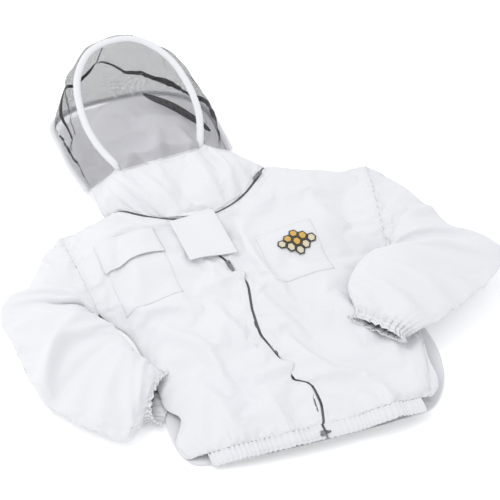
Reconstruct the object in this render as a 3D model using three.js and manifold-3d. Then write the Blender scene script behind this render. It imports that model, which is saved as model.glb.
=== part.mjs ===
// A beekeeper's jacket with a zip-on veiled hood, laid on its back with both sleeves folded in.
// Millimetres. The table is z = 0, +Y runs up the body to the head, +X is the wearer's left.
// The cloth over the chest is one height field. Every piece sewn to the front is a slice of
// that field, one layer above the piece under it, cut to its own outline.
import * as THREE from 'three';
import { mergeVertices } from 'three/addons/utils/BufferGeometryUtils.js';
import Module from 'manifold-3d';

const wasm = await Module();
wasm.setup();

// ---- driving dimensions -------------------------------------------------------------------
const cloth = 2;              // doubled cloth with its seam allowance
const gap = 0.3;              // clearance between neighbouring pieces
const layer = cloth + gap;    // rise from one layer to the next

const zipX = -14;             // the front zip's line
const hemY = -515;            // hem at the zip
const hemTilt = -0.12;        // the hem runs lower towards the wearer's left
const hemBow = 0.0002;        // and curls up at both sides, per millimetre
const armpitRight = [-292, -60];
const shoulderRight = [-298, 170];
const armpitLeft = [311, -131];
const shoulderLeft = [384, 115];
const waistRight = 40;        // how far the right side tucks in below the armpit
const waistLeft = 30;
const hipRight = -268;
const hipLeft = 272;
const hemCornerRight = -222;
const hemCornerLeft = 190;
const armholeDepth = 130;     // from the armhole's chord out to the point its sleeve swings on

const chestHeight = 52;       // height of the chest cloth over the table, along the zip
const hemHeight = 24;
const chestTopY = 60;
const shoulderRound = 60;     // the chest comes down to the shoulder seam over this length
const armholeLift = 90;       // holds the chest up where the sleeves start

const neckHalf = 188;         // neck ring, half its width
const neckFrontY = 76;        // front of the neck ring
const neckEndY = 200;         // its ends, on the shoulders
const neckBackRise = 22;
const neckZipEnd = 0.93;      // the zip is seen as far as this share of the ring

const tapeWidth = 12;
const coilWidth = 2.4;
const clothSetback = 5;       // sewn cloth edge, from the middle of a zip
const hemDepth = 28;          // depth of the elasticated hem casing
const elasticWidth = 20;
const cuffLength = 20;
const sleeveWall = 2;

const hoodX = -45;            // the veil's middle
const faceHingeY = 229;       // where the face panel meets the bib
const faceHingeZ = 100;
const faceTilt = 20;          // degrees up from the table
const faceLength = 312;
const faceHalf = 122;
const faceBaseHalf = 94;
const rearX = -28;            // the rear hoop's middle
const rearHalf = 172;
const rearBaseY = 292;
const rearTopY = 556;
const hoopChannel = 8;        // outer radius of the white hoop channels
const hoopRod = 2.5;
const hoopBore = hoopRod + 0.5;
const netThickness = 1.2;
const netBulge = 30;          // how far the side net stands out past the front hoop
const netStandoff = 8;        // the least of that, at the hoop's feet
const netKneeDrop = 0.12;     // share of its height that the net has fallen by there

// ---- materials ----------------------------------------------------------------------------
const paint = (color, roughness, metalness = 0) =>
  new THREE.MeshStandardMaterial({ color, roughness, metalness });
const whiteCloth = () => paint(0xf3f5fa, 0.85);
const innerCloth = () => paint(0xdfdfe8, 0.9);
const elasticWeb = () => paint(0xe9eaf0, 0.8);
const zipTape = () => paint(0x5f6166, 0.85);
const zipNylon = () => paint(0x4a4c50, 0.5);
const zipMetal = () => paint(0x75777b, 0.35, 0.9);
const blackNet = () => paint(0x2a2b2d, 0.7);
const hoopSteel = () => paint(0xb9bcc0, 0.3, 1);
const touchTape = () => paint(0xe6e8ee, 0.95);
const amberThread = () => paint(0xe2a53a, 0.6);

const suit = new THREE.Group();
const hood = new THREE.Group();
suit.add(hood);

// ---- solids -------------------------------------------------------------------------------
// A closed geometry with its shared corners merged and its faces turned outwards.
function closed(geometry) {
  geometry.deleteAttribute('normal');
  geometry.deleteAttribute('uv');
  const merged = mergeVertices(geometry, 1e-4);
  const position = merged.attributes.position;
  const index = Array.from(merged.index.array);
  const [a, b, c] = [new THREE.Vector3(), new THREE.Vector3(), new THREE.Vector3()];
  let volume = 0;
  for (let i = 0; i < index.length; i += 3) {
    a.fromBufferAttribute(position, index[i]);
    b.fromBufferAttribute(position, index[i + 1]);
    c.fromBufferAttribute(position, index[i + 2]);
    volume += a.dot(b.cross(c));
  }
  if (volume < 0) {
    for (let i = 0; i < index.length; i += 3) [index[i], index[i + 1]] = [index[i + 1], index[i]];
    merged.setIndex(index);
  }
  return merged;
}

function solid(geometry) {
  const shell = closed(geometry);
  return new wasm.Manifold(new wasm.Mesh({
    numProp: 3,
    vertProperties: new Float32Array(shell.attributes.position.array),
    triVerts: new Uint32Array(shell.index.array),
  }));
}

function add(name, body, material, parent = suit) {
  let geometry = body;
  if (!body.isBufferGeometry) {
    const out = body.getMesh();
    geometry = new THREE.BufferGeometry();
    geometry.setAttribute('position', new THREE.BufferAttribute(out.vertProperties, 3));
    geometry.setIndex(new THREE.BufferAttribute(out.triVerts, 1));
  }
  geometry.computeVertexNormals();
  const mesh = new THREE.Mesh(geometry, material);
  mesh.name = name;
  parent.add(mesh);
  return mesh;
}

// A grid of points made into a closed slab: 'place' gives each point's upper and lower copy,
// both copies share their diagonals, and a rim joins them.
function slab(across, along, place) {
  const grid = new THREE.PlaneGeometry(1, 1, across, along);
  const flat = grid.attributes.position;
  const count = flat.count;
  const points = [];
  for (const upper of [1, 0]) {
    for (let i = 0; i < count; i += 1) {
      points.push(...place(flat.getX(i) + 0.5, flat.getY(i) + 0.5, upper).toArray());
    }
  }
  const top = Array.from(grid.index.array);
  const faces = [...top, ...top.map((corner) => corner + count).reverse()];
  const width = across + 1;
  const rim = [];
  for (let j = 0; j < along; j += 1) rim.push(j * width);
  for (let i = 0; i < across; i += 1) rim.push(along * width + i);
  for (let j = along; j > 0; j -= 1) rim.push(j * width + across);
  for (let i = across; i > 0; i -= 1) rim.push(i);
  rim.forEach((p, k) => {
    const q = rim[(k + 1) % rim.length];
    faces.push(q, p, p + count, q, p + count, q + count);
  });
  const geometry = new THREE.BufferGeometry();
  geometry.setAttribute('position', new THREE.BufferAttribute(new Float32Array(points), 3));
  return solid(geometry.setIndex(faces));
}

// An upright prism over a plan outline, far taller than any piece it cuts.
function prism(outline, low = -50, high = 450) {
  const shape = new THREE.Shape(outline.map(([x, y]) => new THREE.Vector2(x, y)));
  const geometry = new THREE.ExtrudeGeometry(shape, { depth: high - low, bevelEnabled: false });
  return solid(geometry.translate(0, 0, low));
}

const mix = (a, b, t) => a + (b - a) * t;
const smooth = (t) => THREE.MathUtils.smoothstep(t, 0, 1);
const steps = (count) => Array.from({ length: count + 1 }, (_, i) => i / count);

// ---- the body's plan ----------------------------------------------------------------------
const hemAt = (x) => hemY + hemTilt * (x - zipX) + hemBow * (x - zipX) ** 2;

function sideCurve(armpit, waist, hip, corner) {
  const down = (share) => mix(armpit[1], hemY, share);
  const inward = Math.sign(armpit[0]) * waist;
  return new THREE.SplineCurve([
    new THREE.Vector2(...armpit),
    new THREE.Vector2(armpit[0] - inward, down(0.15)),
    new THREE.Vector2(armpit[0] - inward, down(0.42)),
    new THREE.Vector2(hip, down(0.66)),
    new THREE.Vector2(mix(hip, corner, 0.25), down(0.83)),
    new THREE.Vector2(corner, hemAt(corner)),
  ]).getPoints(24);
}
const sideRight = sideCurve(armpitRight, waistRight, hipRight, hemCornerRight);
const sideLeft = sideCurve(armpitLeft, waistLeft, hipLeft, hemCornerLeft);

// Distance from the zip out to the side seam at height y; past the armpit it opens out.
function reach(side, y) {
  const [armpitX, armpitY] = [side[0].x, side[0].y];
  if (y >= armpitY) {
    return Math.abs(armpitX - zipX) + armholeLift * smooth((y - armpitY) / armholeLift);
  }
  const below = side.findIndex((point) => point.y < y);
  if (below < 0) return Math.abs(side.at(-1).x - zipX);
  const [upper, lower] = [side[below - 1], side[below]];
  return Math.abs(mix(upper.x, lower.x, (upper.y - y) / (upper.y - lower.y)) - zipX);
}

// The neck ring's front half: u runs from -1 on the right shoulder to 1 on the left.
function neckPoint(u, offset = 0) {
  const rise = neckEndY - neckFrontY;
  const slope = (2 * rise * u) / neckHalf;
  const length = Math.hypot(1, slope);
  const x = u * neckHalf - (offset * slope) / length;
  return [x, neckFrontY + rise * u * u + offset / length];
}
const neckLine = (offset, from, to, count = 24) =>
  steps(count).map((t) => neckPoint(mix(from, to, t), offset));

const neckRight = [-neckHalf, neckEndY];
const neckLeft = [neckHalf, neckEndY];
const shoulderLineAt = (x) => {
  const [tip, neck] = x < 0 ? [shoulderRight, neckRight] : [shoulderLeft, neckLeft];
  return neck[1] + ((x - neck[0]) * (tip[1] - neck[1])) / (tip[0] - neck[0]);
};

// ---- the chest's height field ---------------------------------------------------------------
// The ridge along the zip is straight, so that the slider runs on one line.
const ridgeSlope = (chestHeight - hemHeight) / (chestTopY - hemY);
const ridgeAt = (y) => Math.min(chestHeight, hemHeight + ridgeSlope * (y - hemY));

function chestAt(x, y) {
  const share = Math.min(1, Math.abs(x - zipX) / reach(x < zipX ? sideRight : sideLeft, y));
  const across = (1 - share ** 2.5) ** 0.75;
  const fromShoulder = THREE.MathUtils.clamp((shoulderLineAt(x) - y) / shoulderRound, 0, 1);
  return ridgeAt(y) * across * (1 - (1 - fromShoulder) ** 2.2);
}

// One sheet over the whole front, its lower face 'lift' above the height field. Its columns
// run from side seam to side seam, closer together at the sides where the cloth turns down.
const columns = 18;
const rows = 24;
function sheet(lift, thickness = cloth) {
  const [low, high] = [hemY - 60, neckEndY + 60];
  return slab(columns, rows, (u, v, upper) => {
    const s = Math.sin((u - 0.5) * Math.PI);
    const y = mix(low, high, v);
    const x = zipX + s * reach(s < 0 ? sideRight : sideLeft, y);
    return new THREE.Vector3(x, y, chestAt(x, y) + lift + upper * thickness);
  });
}
const slice = (outline, level, thickness = cloth) =>
  sheet(level * layer, thickness).intersect(prism(outline));

// ---- armholes: each sleeve's head is an arc about the point it swings on ---------------------
function armhole(shoulder, armpit) {
  const [along, away] = [shoulder[0] - armpit[0], shoulder[1] - armpit[1]];
  const chord = Math.hypot(along, away);
  const out = Math.sign(armpit[0]);
  const normal = [(out * away) / chord, (-out * along) / chord];
  const middle = [(shoulder[0] + armpit[0]) / 2, (shoulder[1] + armpit[1]) / 2];
  const centre = [middle[0] + normal[0] * armholeDepth, middle[1] + normal[1] * armholeDepth];
  const radius = Math.hypot(chord / 2, armholeDepth);
  const disc = (extra) => {
    const drum = new THREE.CylinderGeometry(radius + extra, radius + extra, 500, 96);
    return solid(drum.rotateX(Math.PI / 2).translate(...centre, 150));
  };
  const bodySide = () => {
    const far = (sideways, inwards) => [
      middle[0] + (along / chord) * sideways - normal[0] * inwards,
      middle[1] + (away / chord) * sideways - normal[1] * inwards,
    ];
    return prism([far(-chord, 0), far(chord, 0), far(chord, chord), far(-chord, chord)]);
  };
  return { shoulder, armpit, normal, disc, bodySide };
}
const holeRight = armhole(shoulderRight, armpitRight);
const holeLeft = armhole(shoulderLeft, armpitLeft);
const cutArmholes = (body) => body.subtract(holeRight.disc(gap)).subtract(holeLeft.disc(gap));

// ---- jacket: back, fronts, hem ----------------------------------------------------------------
const wide = 700;             // past every side seam
const hemLine = (offset, from = -wide, to = wide) =>
  steps(18).map((t) => {
    const x = mix(from, to, t);
    return [x, hemAt(x) + offset];
  });

// Plan of the fronts, from the hem casing up to the neck zip and the shoulder seams.
function frontOutline(from, to) {
  const bottom = hemLine(hemDepth, from, to);
  const [uFrom, uTo] = [Math.max(-1, from / neckHalf), Math.min(1, to / neckHalf)];
  const neck = neckLine(-clothSetback, uTo, uFrom);
  const shoulder = (tip, far) => [[far, tip[1]], tip];
  const left = to > neckHalf ? shoulder(shoulderLeft, to) : [[to, neck[0][1]]];
  const right = from < -neckHalf
    ? shoulder(shoulderRight, from).reverse() : [[from, neck.at(-1)[1]]];
  const inner = neck.slice(to > neckHalf ? 0 : 1, from < -neckHalf ? undefined : -1);
  return [...bottom, ...left, ...inner, ...right];
}

function jacketBack() {
  const neckBack = steps(12).map((t) => {
    const x = mix(neckHalf, -neckHalf, t);
    return [x, neckEndY + neckBackRise * (1 - (x / neckHalf) ** 2)];
  });
  const pairs = (points) => points.map((point) => [point.x, point.y]);
  const outline = [
    ...pairs(sideRight),
    ...hemLine(0, hemCornerRight, hemCornerLeft).slice(1, -1),
    ...pairs(sideLeft).reverse(),
    shoulderLeft,
    ...neckBack,
    shoulderRight,
  ];
  return cutArmholes(prism(outline, 0, cloth));
}

function jacketFront(from, to) {
  return cutArmholes(slice(frontOutline(from, to), 1));
}

function hemBand(from, to, level, low, high) {
  return slice([...hemLine(low, from, to), ...hemLine(high, from, to).reverse()], level);
}

const elasticInset = (hemDepth - elasticWidth) / 2;
function backElastic() {
  const inset = 24;
  const line = (offset) => hemLine(offset, hemCornerRight + inset, hemCornerLeft - inset);
  const outline = [...line(elasticInset), ...line(elasticInset + elasticWidth).reverse()];
  return prism(outline, layer, layer + cloth);
}

add('back_panel', jacketBack(), whiteCloth());
add('front_panel_right', jacketFront(-wide, zipX - clothSetback), whiteCloth());
add('front_panel_left', jacketFront(zipX + clothSetback, wide), whiteCloth());
const hemTop = hemDepth - gap;
add('hem_casing_right', hemBand(-wide, zipX - clothSetback, 1, 0, hemTop), whiteCloth());
add('hem_casing_left', hemBand(zipX + clothSetback, wide, 1, 0, hemTop), whiteCloth());
const hemElastic = (from, to) =>
  hemBand(from, to, 0, elasticInset, elasticInset + elasticWidth);
const elasticEnd = 16;
const tapeEdge = tapeWidth + 2;
add('hem_elastic_right', hemElastic(hemCornerRight + elasticEnd, zipX - tapeEdge), elasticWeb());
add('hem_elastic_left', hemElastic(zipX + tapeEdge, hemCornerLeft - elasticEnd), elasticWeb());
add('hem_elastic_back', backElastic(), elasticWeb());

// ---- front zip ----------------------------------------------------------------------------------
const zipTopY = neckFrontY - tapeWidth;
const zipStopY = hemY + 14;
const strip = (x0, x1, y0, y1) => [[x0, y0], [x1, y0], [x1, y1], [x0, y1]];
const tapeStrip = (side) => {
  const [inner, outer] = [zipX + side * gap / 2, zipX + side * tapeWidth];
  return strip(Math.min(inner, outer), Math.max(inner, outer), hemY + 4, zipTopY);
};
const coilStrip = (side) => {
  const [inner, outer] = [zipX + side * gap / 2, zipX + side * coilWidth];
  return strip(Math.min(inner, outer), Math.max(inner, outer), zipStopY, zipTopY - 4);
};
add('front_zip_tape_right', slice(tapeStrip(-1), 0), zipTape());
add('front_zip_tape_left', slice(tapeStrip(1), 0), zipTape());
add('front_zip_coil_right', slice(coilStrip(-1), 1), zipNylon());
add('front_zip_coil_left', slice(coilStrip(1), 1), zipNylon());

// A block lying on the ridge of the chest, turned to its slope.
const ridgeAngle = Math.atan(ridgeSlope);
function ridgeBlock(width, length, height, y, lift) {
  const block = new THREE.BoxGeometry(width, length, height);
  block.translate(0, 0, height / 2).rotateX(ridgeAngle);
  return block.translate(zipX, y, ridgeAt(y) + lift);
}
const onCoil = 2 * layer;
const retainer = { width: 7, length: 10, height: 4 };
const retainerY = zipStopY - retainer.length / 2 - gap;
add('zip_retaining_box',
  solid(ridgeBlock(retainer.width, retainer.length, retainer.height, retainerY, layer)), zipMetal());

const sliderY = -63;
const sliderSize = { width: 8, length: 14, height: 2.6 };
const lug = { half: 1.2, radius: 1.5 };
const lugZ = sliderSize.height / 2 + lug.radius + gap;
// A flat body with a lug on a short web, on which the pull turns.
function sliderBody() {
  const { width, length, height } = sliderSize;
  const plate = new THREE.BoxGeometry(width, length, height);
  const knob = new THREE.CylinderGeometry(lug.radius, lug.radius, 2 * lug.half, 12);
  const web = new THREE.BoxGeometry(2 * lug.half, lug.radius, lugZ);
  return solid(plate)
    .add(solid(knob.rotateZ(Math.PI / 2).translate(0, 0, lugZ)))
    .add(solid(web.translate(0, 0, lugZ / 2)));
}
// The pull is forked over the lug, and lies flat down the zip.
const pull = { width: 7, length: 24, thickness: 1.2, fork: 3.4, past: 1.2 };
function pullTab() {
  const outline = new THREE.Shape();
  const half = pull.width / 2;
  const inner = lug.half + gap;
  outline.moveTo(-half, -pull.length + half);
  outline.absarc(0, -pull.length + half, half, Math.PI, 2 * Math.PI);
  for (const [x, y] of [[half, pull.past], [inner, pull.past], [inner, -pull.fork],
    [-inner, -pull.fork], [-inner, pull.past], [-half, pull.past]]) outline.lineTo(x, y);
  const plate = new THREE.ExtrudeGeometry(outline,
    { depth: pull.thickness, bevelEnabled: false, curveSegments: 8 });
  return closed(plate.translate(0, 0, -pull.thickness / 2));
}
const sliderLift = onCoil + sliderSize.height / 2;
function sliderOn(name, parent) {
  const ride = new THREE.Group();
  parent.add(ride);
  add(`${name}_slider`, sliderBody(), zipMetal(), ride);
  add(`${name}_pull`, pullTab(), zipMetal(), ride).position.z = lugZ;
  return ride;
}
const frontRide = sliderOn('front_zip', suit);
frontRide.rotation.x = ridgeAngle;
frontRide.position.set(zipX, sliderY, ridgeAt(sliderY) + sliderLift);

// ---- chest pockets ----------------------------------------------------------------------------
const pocketRight = { low: -92, high: 84, inner: -124, outer: -245 };
const pocketLeft = { low: -150, high: -20, inner: 58, outer: 186 };
const pocketOutline = (p) =>
  strip(Math.min(p.inner, p.outer), Math.max(p.inner, p.outer), p.low, p.high);
add('chest_pocket_right', slice(pocketOutline(pocketRight), 2), whiteCloth());
add('chest_pocket_left', slice(pocketOutline(pocketLeft), 2), whiteCloth());
const hookInset = 20;         // from the pocket's sides, and its length up the pocket
const hookTop = pocketRight.high - 30;
const hookStrip = strip(pocketRight.outer + hookInset, pocketRight.inner - hookInset,
  hookTop - hookInset, hookTop);
add('pocket_hook_tape', slice(hookStrip, 3), touchTape());
const flapDepth = 70;
const flapSide = 3;
const flapTop = pocketRight.high + 2;
const flapOutline = strip(pocketRight.outer - flapSide, pocketRight.inner + flapSide,
  flapTop - flapDepth, flapTop);
add('pocket_flap_right', slice(flapOutline, 4), whiteCloth());

// Honeycomb badge of nine cells in five columns, sewn to the left pocket.
const cellSize = 11;
const cellRise = cellSize * 0.85;
function badge() {
  const columnsOfCells = [[-2, [0]], [-1, [-1, 1]], [0, [-2, 0, 2]], [1, [-1, 1]], [2, [0]]];
  const cells = columnsOfCells.flatMap(([column, ups]) =>
    ups.map((up) => [column * 1.5 * cellSize, up * cellRise]));
  const middle = [pocketLeft.outer - 50, pocketLeft.high - 45];
  const hexagon = ([x, y]) => steps(5).map((t) => {
    const angle = (t * 5 * Math.PI) / 3;
    return [middle[0] + x + Math.cos(angle) * cellSize, middle[1] + y + Math.sin(angle) * cellSize];
  });
  const comb = cells.map((cell) => prism(hexagon(cell))).reduce((all, one) => all.add(one));
  return sheet(3 * layer, 1).intersect(comb);
}
add('badge_patch', badge(), amberThread());

// ---- sleeves ----------------------------------------------------------------------------------
// Each sleeve is a flattened tube. A station gives the outer edge from the shoulder point, the
// inner edge from the armpit, and the height of the cloth there.
const sleeveRight = [
  { outer: [0, 0], inner: [0, 0], height: 38 },
  { outer: [-68, -67], inner: [-14, -4], height: 42 },
  { outer: [-140, -125], inner: [-16, -14], height: 44 },
  { outer: [-178, -215], inner: [-8, -36], height: 46 },
  { outer: [-174, -350], inner: [8, -80], height: 46 },
  { outer: [-125, -468], inner: [30, -130], height: 44 },
  { outer: [-58, -530], inner: [46, -164], height: 38 },
  { outer: [-4, -508], inner: [58, -184], height: 32 },
];
const cuffRight = { outer: [16, -522], inner: [76, -196] };
const sleeveLeft = [
  { outer: [0, 0], inner: [0, 0], height: 40 },
  { outer: [36, -63], inner: [-3, -6], height: 44 },
  { outer: [66, -150], inner: [-8, -12], height: 48 },
  { outer: [100, -245], inner: [-18, -18], height: 50 },
  { outer: [140, -318], inner: [-38, -26], height: 50 },
  { outer: [92, -388], inner: [-66, -36], height: 48 },
  { outer: [0, -428], inner: [-100, -56], height: 46 },
  { outer: [-90, -458], inner: [-132, -92], height: 42 },
  { outer: [-152, -486], inner: [-146, -148], height: 34 },
];
const cuffLeft = { outer: [-168, -498], inner: [-160, -159] };

const bodyTop = (x, y) => {
  const inside = Math.abs(x - zipX) < reach(x < zipX ? sideRight : sideLeft, y) + 8;
  const below = y < (x < 0 ? armpitRight[1] : armpitLeft[1]) + 20;
  return inside && below && y > hemAt(x) - 20 ? chestAt(x, y) + 2 * layer + cloth + 2 : 0;
};

// Edge points of a sleeve at share t, with the height of what it lies on.
function sleeveFrame(hole, stations) {
  const edge = (key, root) => new THREE.SplineCurve(
    stations.map((s) => new THREE.Vector2(s[key][0] + root[0], s[key][1] + root[1])));
  const heights = new THREE.SplineCurve(
    stations.map((s, i) => new THREE.Vector2(i, s.height)));
  const outer = edge('outer', hole.shoulder);
  const inner = edge('inner', hole.armpit);
  const rest = (t) => {
    const [a, b] = [outer.getPoint(t), inner.getPoint(t)];
    const crossing = steps(8).map((s) => bodyTop(mix(a.x, b.x, s), mix(a.y, b.y, s)));
    return Math.max(...crossing);
  };
  return (t) => ({
    outer: outer.getPoint(t),
    inner: inner.getPoint(t),
    height: heights.getPoint(t).y,
    bottom: t < 0.4 ? 0 : Math.max(rest(t), rest(Math.min(1, t + 0.08))),
  });
}

// A tube through frames: its section is an ellipse between the two edges, 'inset' smaller
// all round, with a wall. The lathe gives the ring that is bent onto the frames.
const around = 16;
function tube(frames, wall, inset = 0) {
  const last = frames.length - 1;
  const outside = steps(last).map((v) => new THREE.Vector2(2, v * last));
  const inside = steps(last).map((v) => new THREE.Vector2(1, (1 - v) * last));
  const ring = new THREE.LatheGeometry([...outside, ...inside, outside[0]], around);
  const position = ring.attributes.position;
  for (let i = 0; i < position.count; i += 1) {
    const [x, row, z] = [position.getX(i), position.getY(i), position.getZ(i)];
    const radius = Math.hypot(x, z);
    const frame = frames[Math.round(row)];
    const shrink = inset + (radius < 1.5 ? wall : 0);
    const half = frame.outer.distanceTo(frame.inner) / 2;
    const across = ((half - shrink) / half) * (x / radius);
    const up = (frame.height / 2 - shrink) * (z / radius);
    position.setXYZ(i,
      (frame.outer.x + frame.inner.x) / 2 + (across * (frame.outer.x - frame.inner.x)) / 2,
      (frame.outer.y + frame.inner.y) / 2 + (across * (frame.outer.y - frame.inner.y)) / 2,
      frame.bottom + frame.height / 2 + up);
  }
  return solid(ring);
}

// The head of the sleeve runs on into the body and is cut back to the armhole's arc.
function sleeve(hole, stations) {
  const frame = sleeveFrame(hole, stations);
  const rowsAlong = 12;
  const head = frame(0);
  const back = armholeDepth * 0.6;
  const into = (point) => new THREE.Vector2(
    point.x - hole.normal[0] * back, point.y - hole.normal[1] * back);
  const frames = [{ ...head, outer: into(head.outer), inner: into(head.inner) },
    ...steps(rowsAlong).map(frame)];
  return tube(frames, sleeveWall).subtract(hole.bodySide().subtract(hole.disc(0)));
}

function cuffFrames(hole, stations, cuff) {
  const end = sleeveFrame(hole, stations)(1);
  const place = (root, offset) => new THREE.Vector2(root[0] + offset[0], root[1] + offset[1]);
  const mouth = {
    ...end,
    outer: place(hole.shoulder, cuff.outer),
    inner: place(hole.armpit, cuff.inner),
  };
  const along = (t) => ({
    ...end,
    outer: end.outer.clone().lerp(mouth.outer, t),
    inner: end.inner.clone().lerp(mouth.inner, t),
  });
  const start = (gap * 1.5) / cuffLength;
  return [along(start), along(0.5), along(1)];
}

function elasticFrames(frames) {
  const between = (a, b, t) => ({
    ...a, outer: a.outer.clone().lerp(b.outer, t), inner: a.inner.clone().lerp(b.inner, t),
  });
  return [between(frames[0], frames[2], 0.2), between(frames[0], frames[2], 0.8)];
}

for (const [name, hole, stations, cuff] of [
  ['right', holeRight, sleeveRight, cuffRight],
  ['left', holeLeft, sleeveLeft, cuffLeft],
]) {
  add(`${name}_sleeve`, sleeve(hole, stations), whiteCloth());
  const frames = cuffFrames(hole, stations, cuff);
  add(`${name}_cuff_casing`, tube(frames, sleeveWall), whiteCloth());
  add(`${name}_cuff_elastic`, tube(elasticFrames(frames), sleeveWall, sleeveWall + gap),
    elasticWeb());
}

// ---- neck zip ---------------------------------------------------------------------------------
const neckBand = (from, to, level, end) => {
  const outline = [...neckLine(from, -end, end, 20), ...neckLine(to, end, -end, 20)];
  return slice(outline, level);
};
add('neck_zip_tape_jacket', neckBand(-tapeWidth, -gap / 2, 0, neckZipEnd), zipTape());
add('neck_zip_coil_jacket', neckBand(-coilWidth, -gap / 2, 1, neckZipEnd), zipNylon());
add('neck_zip_tape_hood', neckBand(gap / 2, tapeWidth, 0, neckZipEnd), zipTape(), hood);
add('neck_zip_coil_hood', neckBand(gap / 2, coilWidth, 1, neckZipEnd), zipNylon(), hood);

// The neck slider runs on the straight chord of the ring between these two shares.
const neckSliderFrom = 0.78;
const neckSliderTo = 0.44;
const onNeck = (u) => {
  const [x, y] = neckPoint(u);
  return new THREE.Vector3(x, y, chestAt(x, y) + onCoil);
};
const neckRun = onNeck(neckSliderTo).sub(onNeck(neckSliderFrom));
const neckSliderRise = 1.1;   // lifts the straight run clear of the cloth's crown
const neckRide = sliderOn('neck_zip', hood);
neckRide.position.copy(onNeck(neckSliderFrom));
neckRide.position.z += neckSliderRise + sliderSize.height / 2;
neckRide.rotation.order = 'ZXY';
neckRide.rotation.z = Math.atan2(neckRun.y, neckRun.x) + Math.PI / 2;
neckRide.rotation.x = -Math.atan2(neckRun.z, Math.hypot(neckRun.x, neckRun.y));

// ---- hoops ------------------------------------------------------------------------------------
const tilt = THREE.MathUtils.degToRad(faceTilt);
const onFace = (u, l) => new THREE.Vector3(
  hoodX + u, faceHingeY + l * Math.cos(tilt), faceHingeZ + l * Math.sin(tilt));
const footing = 12;           // the front hoop's feet stand this far above the hinge line

// An arch through its base, its widest point and its crown, the same both sides.
function arch(base, half, length, foot) {
  const side = [[base, foot], [mix(base, half, 0.85), length * 0.26], [half, length * 0.5],
    [half * 0.86, length * 0.76], [half * 0.48, length * 0.95]];
  return [...side.map(([u, l]) => [-u, l]), [0, length],
    ...side.reverse().map(([u, l]) => [u, l])];
}
const frontHoop = new THREE.CatmullRomCurve3(
  arch(faceBaseHalf, faceHalf, faceLength, footing).map(([u, l]) => onFace(u, l)));
const rearZ = layer + hoopChannel;
const rearHoop = new THREE.CatmullRomCurve3(
  arch(rearHalf * 0.97, rearHalf, rearTopY - rearBaseY, 0).map(
    ([u, l]) => new THREE.Vector3(rearX + u, rearBaseY + l, rearZ)));
const hoopSteps = 22;

function circle(radius, sides) {
  const points = steps(sides - 1).map((t) => {
    const angle = (t * (sides - 1) * 2 * Math.PI) / sides;
    return new THREE.Vector2(Math.cos(angle) * radius, Math.sin(angle) * radius);
  });
  return points;
}
function alongHoop(hoop, radius, bore = 0) {
  const section = new THREE.Shape(circle(radius, 8));
  if (bore > 0) section.holes.push(new THREE.Path(circle(bore, 8)));
  return closed(new THREE.ExtrudeGeometry(section, { steps: hoopSteps, extrudePath: hoop }));
}
add('front_hoop_channel', alongHoop(frontHoop, hoopChannel, hoopBore), whiteCloth(), hood);
add('front_hoop_rod', alongHoop(frontHoop, hoopRod), hoopSteel(), hood);
add('rear_hoop_channel', alongHoop(rearHoop, hoopChannel, hoopBore), whiteCloth(), hood);
add('rear_hoop_rod', alongHoop(rearHoop, hoopRod), hoopSteel(), hood);

// Directions across each hoop, in its own plane, pointing out of the arch.
function outward(hoop, planeNormal) {
  const points = hoop.getSpacedPoints(hoopSteps);
  return points.map((point, i) => {
    const before = points[Math.max(0, i - 1)];
    const after = points[Math.min(hoopSteps, i + 1)];
    const run = after.clone().sub(before).normalize();
    return { point, out: planeNormal.clone().cross(run).normalize() };
  });
}
const faceNormal = new THREE.Vector3(0, -Math.sin(tilt), Math.cos(tilt));
const frontRing = outward(frontHoop, faceNormal);
const rearRing = outward(rearHoop, new THREE.Vector3(0, 0, 1));

// ---- veil: a flat net in the front hoop -----------------------------------------------------------
const clear = hoopChannel + gap;
const toFace = (v) => [v.x - hoodX, (v.y - faceHingeY) / Math.cos(tilt)];
function faceNet() {
  const edge = frontRing.map(({ point, out }) =>
    toFace(point.clone().addScaledVector(out, -clear)));
  const foot = [[edge.at(-1)[0], gap], [edge[0][0], gap]];
  const shape = new THREE.Shape([...edge, ...foot].map((p) => new THREE.Vector2(...p)));
  const plate = new THREE.ExtrudeGeometry(shape, { depth: netThickness, bevelEnabled: false });
  return closed(plate.translate(0, 0, -netThickness / 2));
}
const face = add('face_net', faceNet(), blackNet(), hood);
face.rotation.x = tilt;
face.position.set(hoodX, faceHingeY, faceHingeZ);

// ---- skins: a surface given its thickness along its own normal ---------------------------------------
function skin(surface, across, along, thickness) {
  const step = 1e-3;
  return slab(across, along, (share, rise, upper) => {
    const u = THREE.MathUtils.clamp(share, step, 1 - step);
    const v = THREE.MathUtils.clamp(rise, step, 1 - step);
    const du = surface(u + step, v).sub(surface(u - step, v));
    const dv = surface(u, v + step).sub(surface(u, v - step));
    const normal = du.cross(dv).normalize();
    return surface(share, rise).addScaledVector(normal, (upper - 0.5) * thickness);
  });
}

function between(ring, share) {
  const at = THREE.MathUtils.clamp(share, 0, 1) * hoopSteps;
  const low = Math.min(hoopSteps - 1, Math.floor(at));
  const t = at - low;
  return {
    point: ring[low].point.clone().lerp(ring[low + 1].point, t),
    out: ring[low].out.clone().lerp(ring[low + 1].out, t).normalize(),
  };
}
// From the front hoop outwards and down onto the rear hoop: a quadratic curve at each share.
function sideNet(share, v) {
  const front = between(frontRing, share);
  const rear = between(rearRing, share);
  const start = front.point.clone().addScaledVector(front.out, clear);
  const end = rear.point.clone().add(new THREE.Vector3(0, 0, clear));
  const sideways = new THREE.Vector3(rear.out.x, rear.out.y, 0).normalize();
  const out = netBulge * Math.sin(Math.PI * share) + netStandoff;
  const knee = start.clone().addScaledVector(sideways, out);
  knee.z -= netKneeDrop * (start.z - end.z);
  return new THREE.QuadraticBezierCurve3(start, knee, end).getPoint(v);
}
add('side_net', skin(sideNet, hoopSteps, 5, netThickness), blackNet(), hood);

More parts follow.
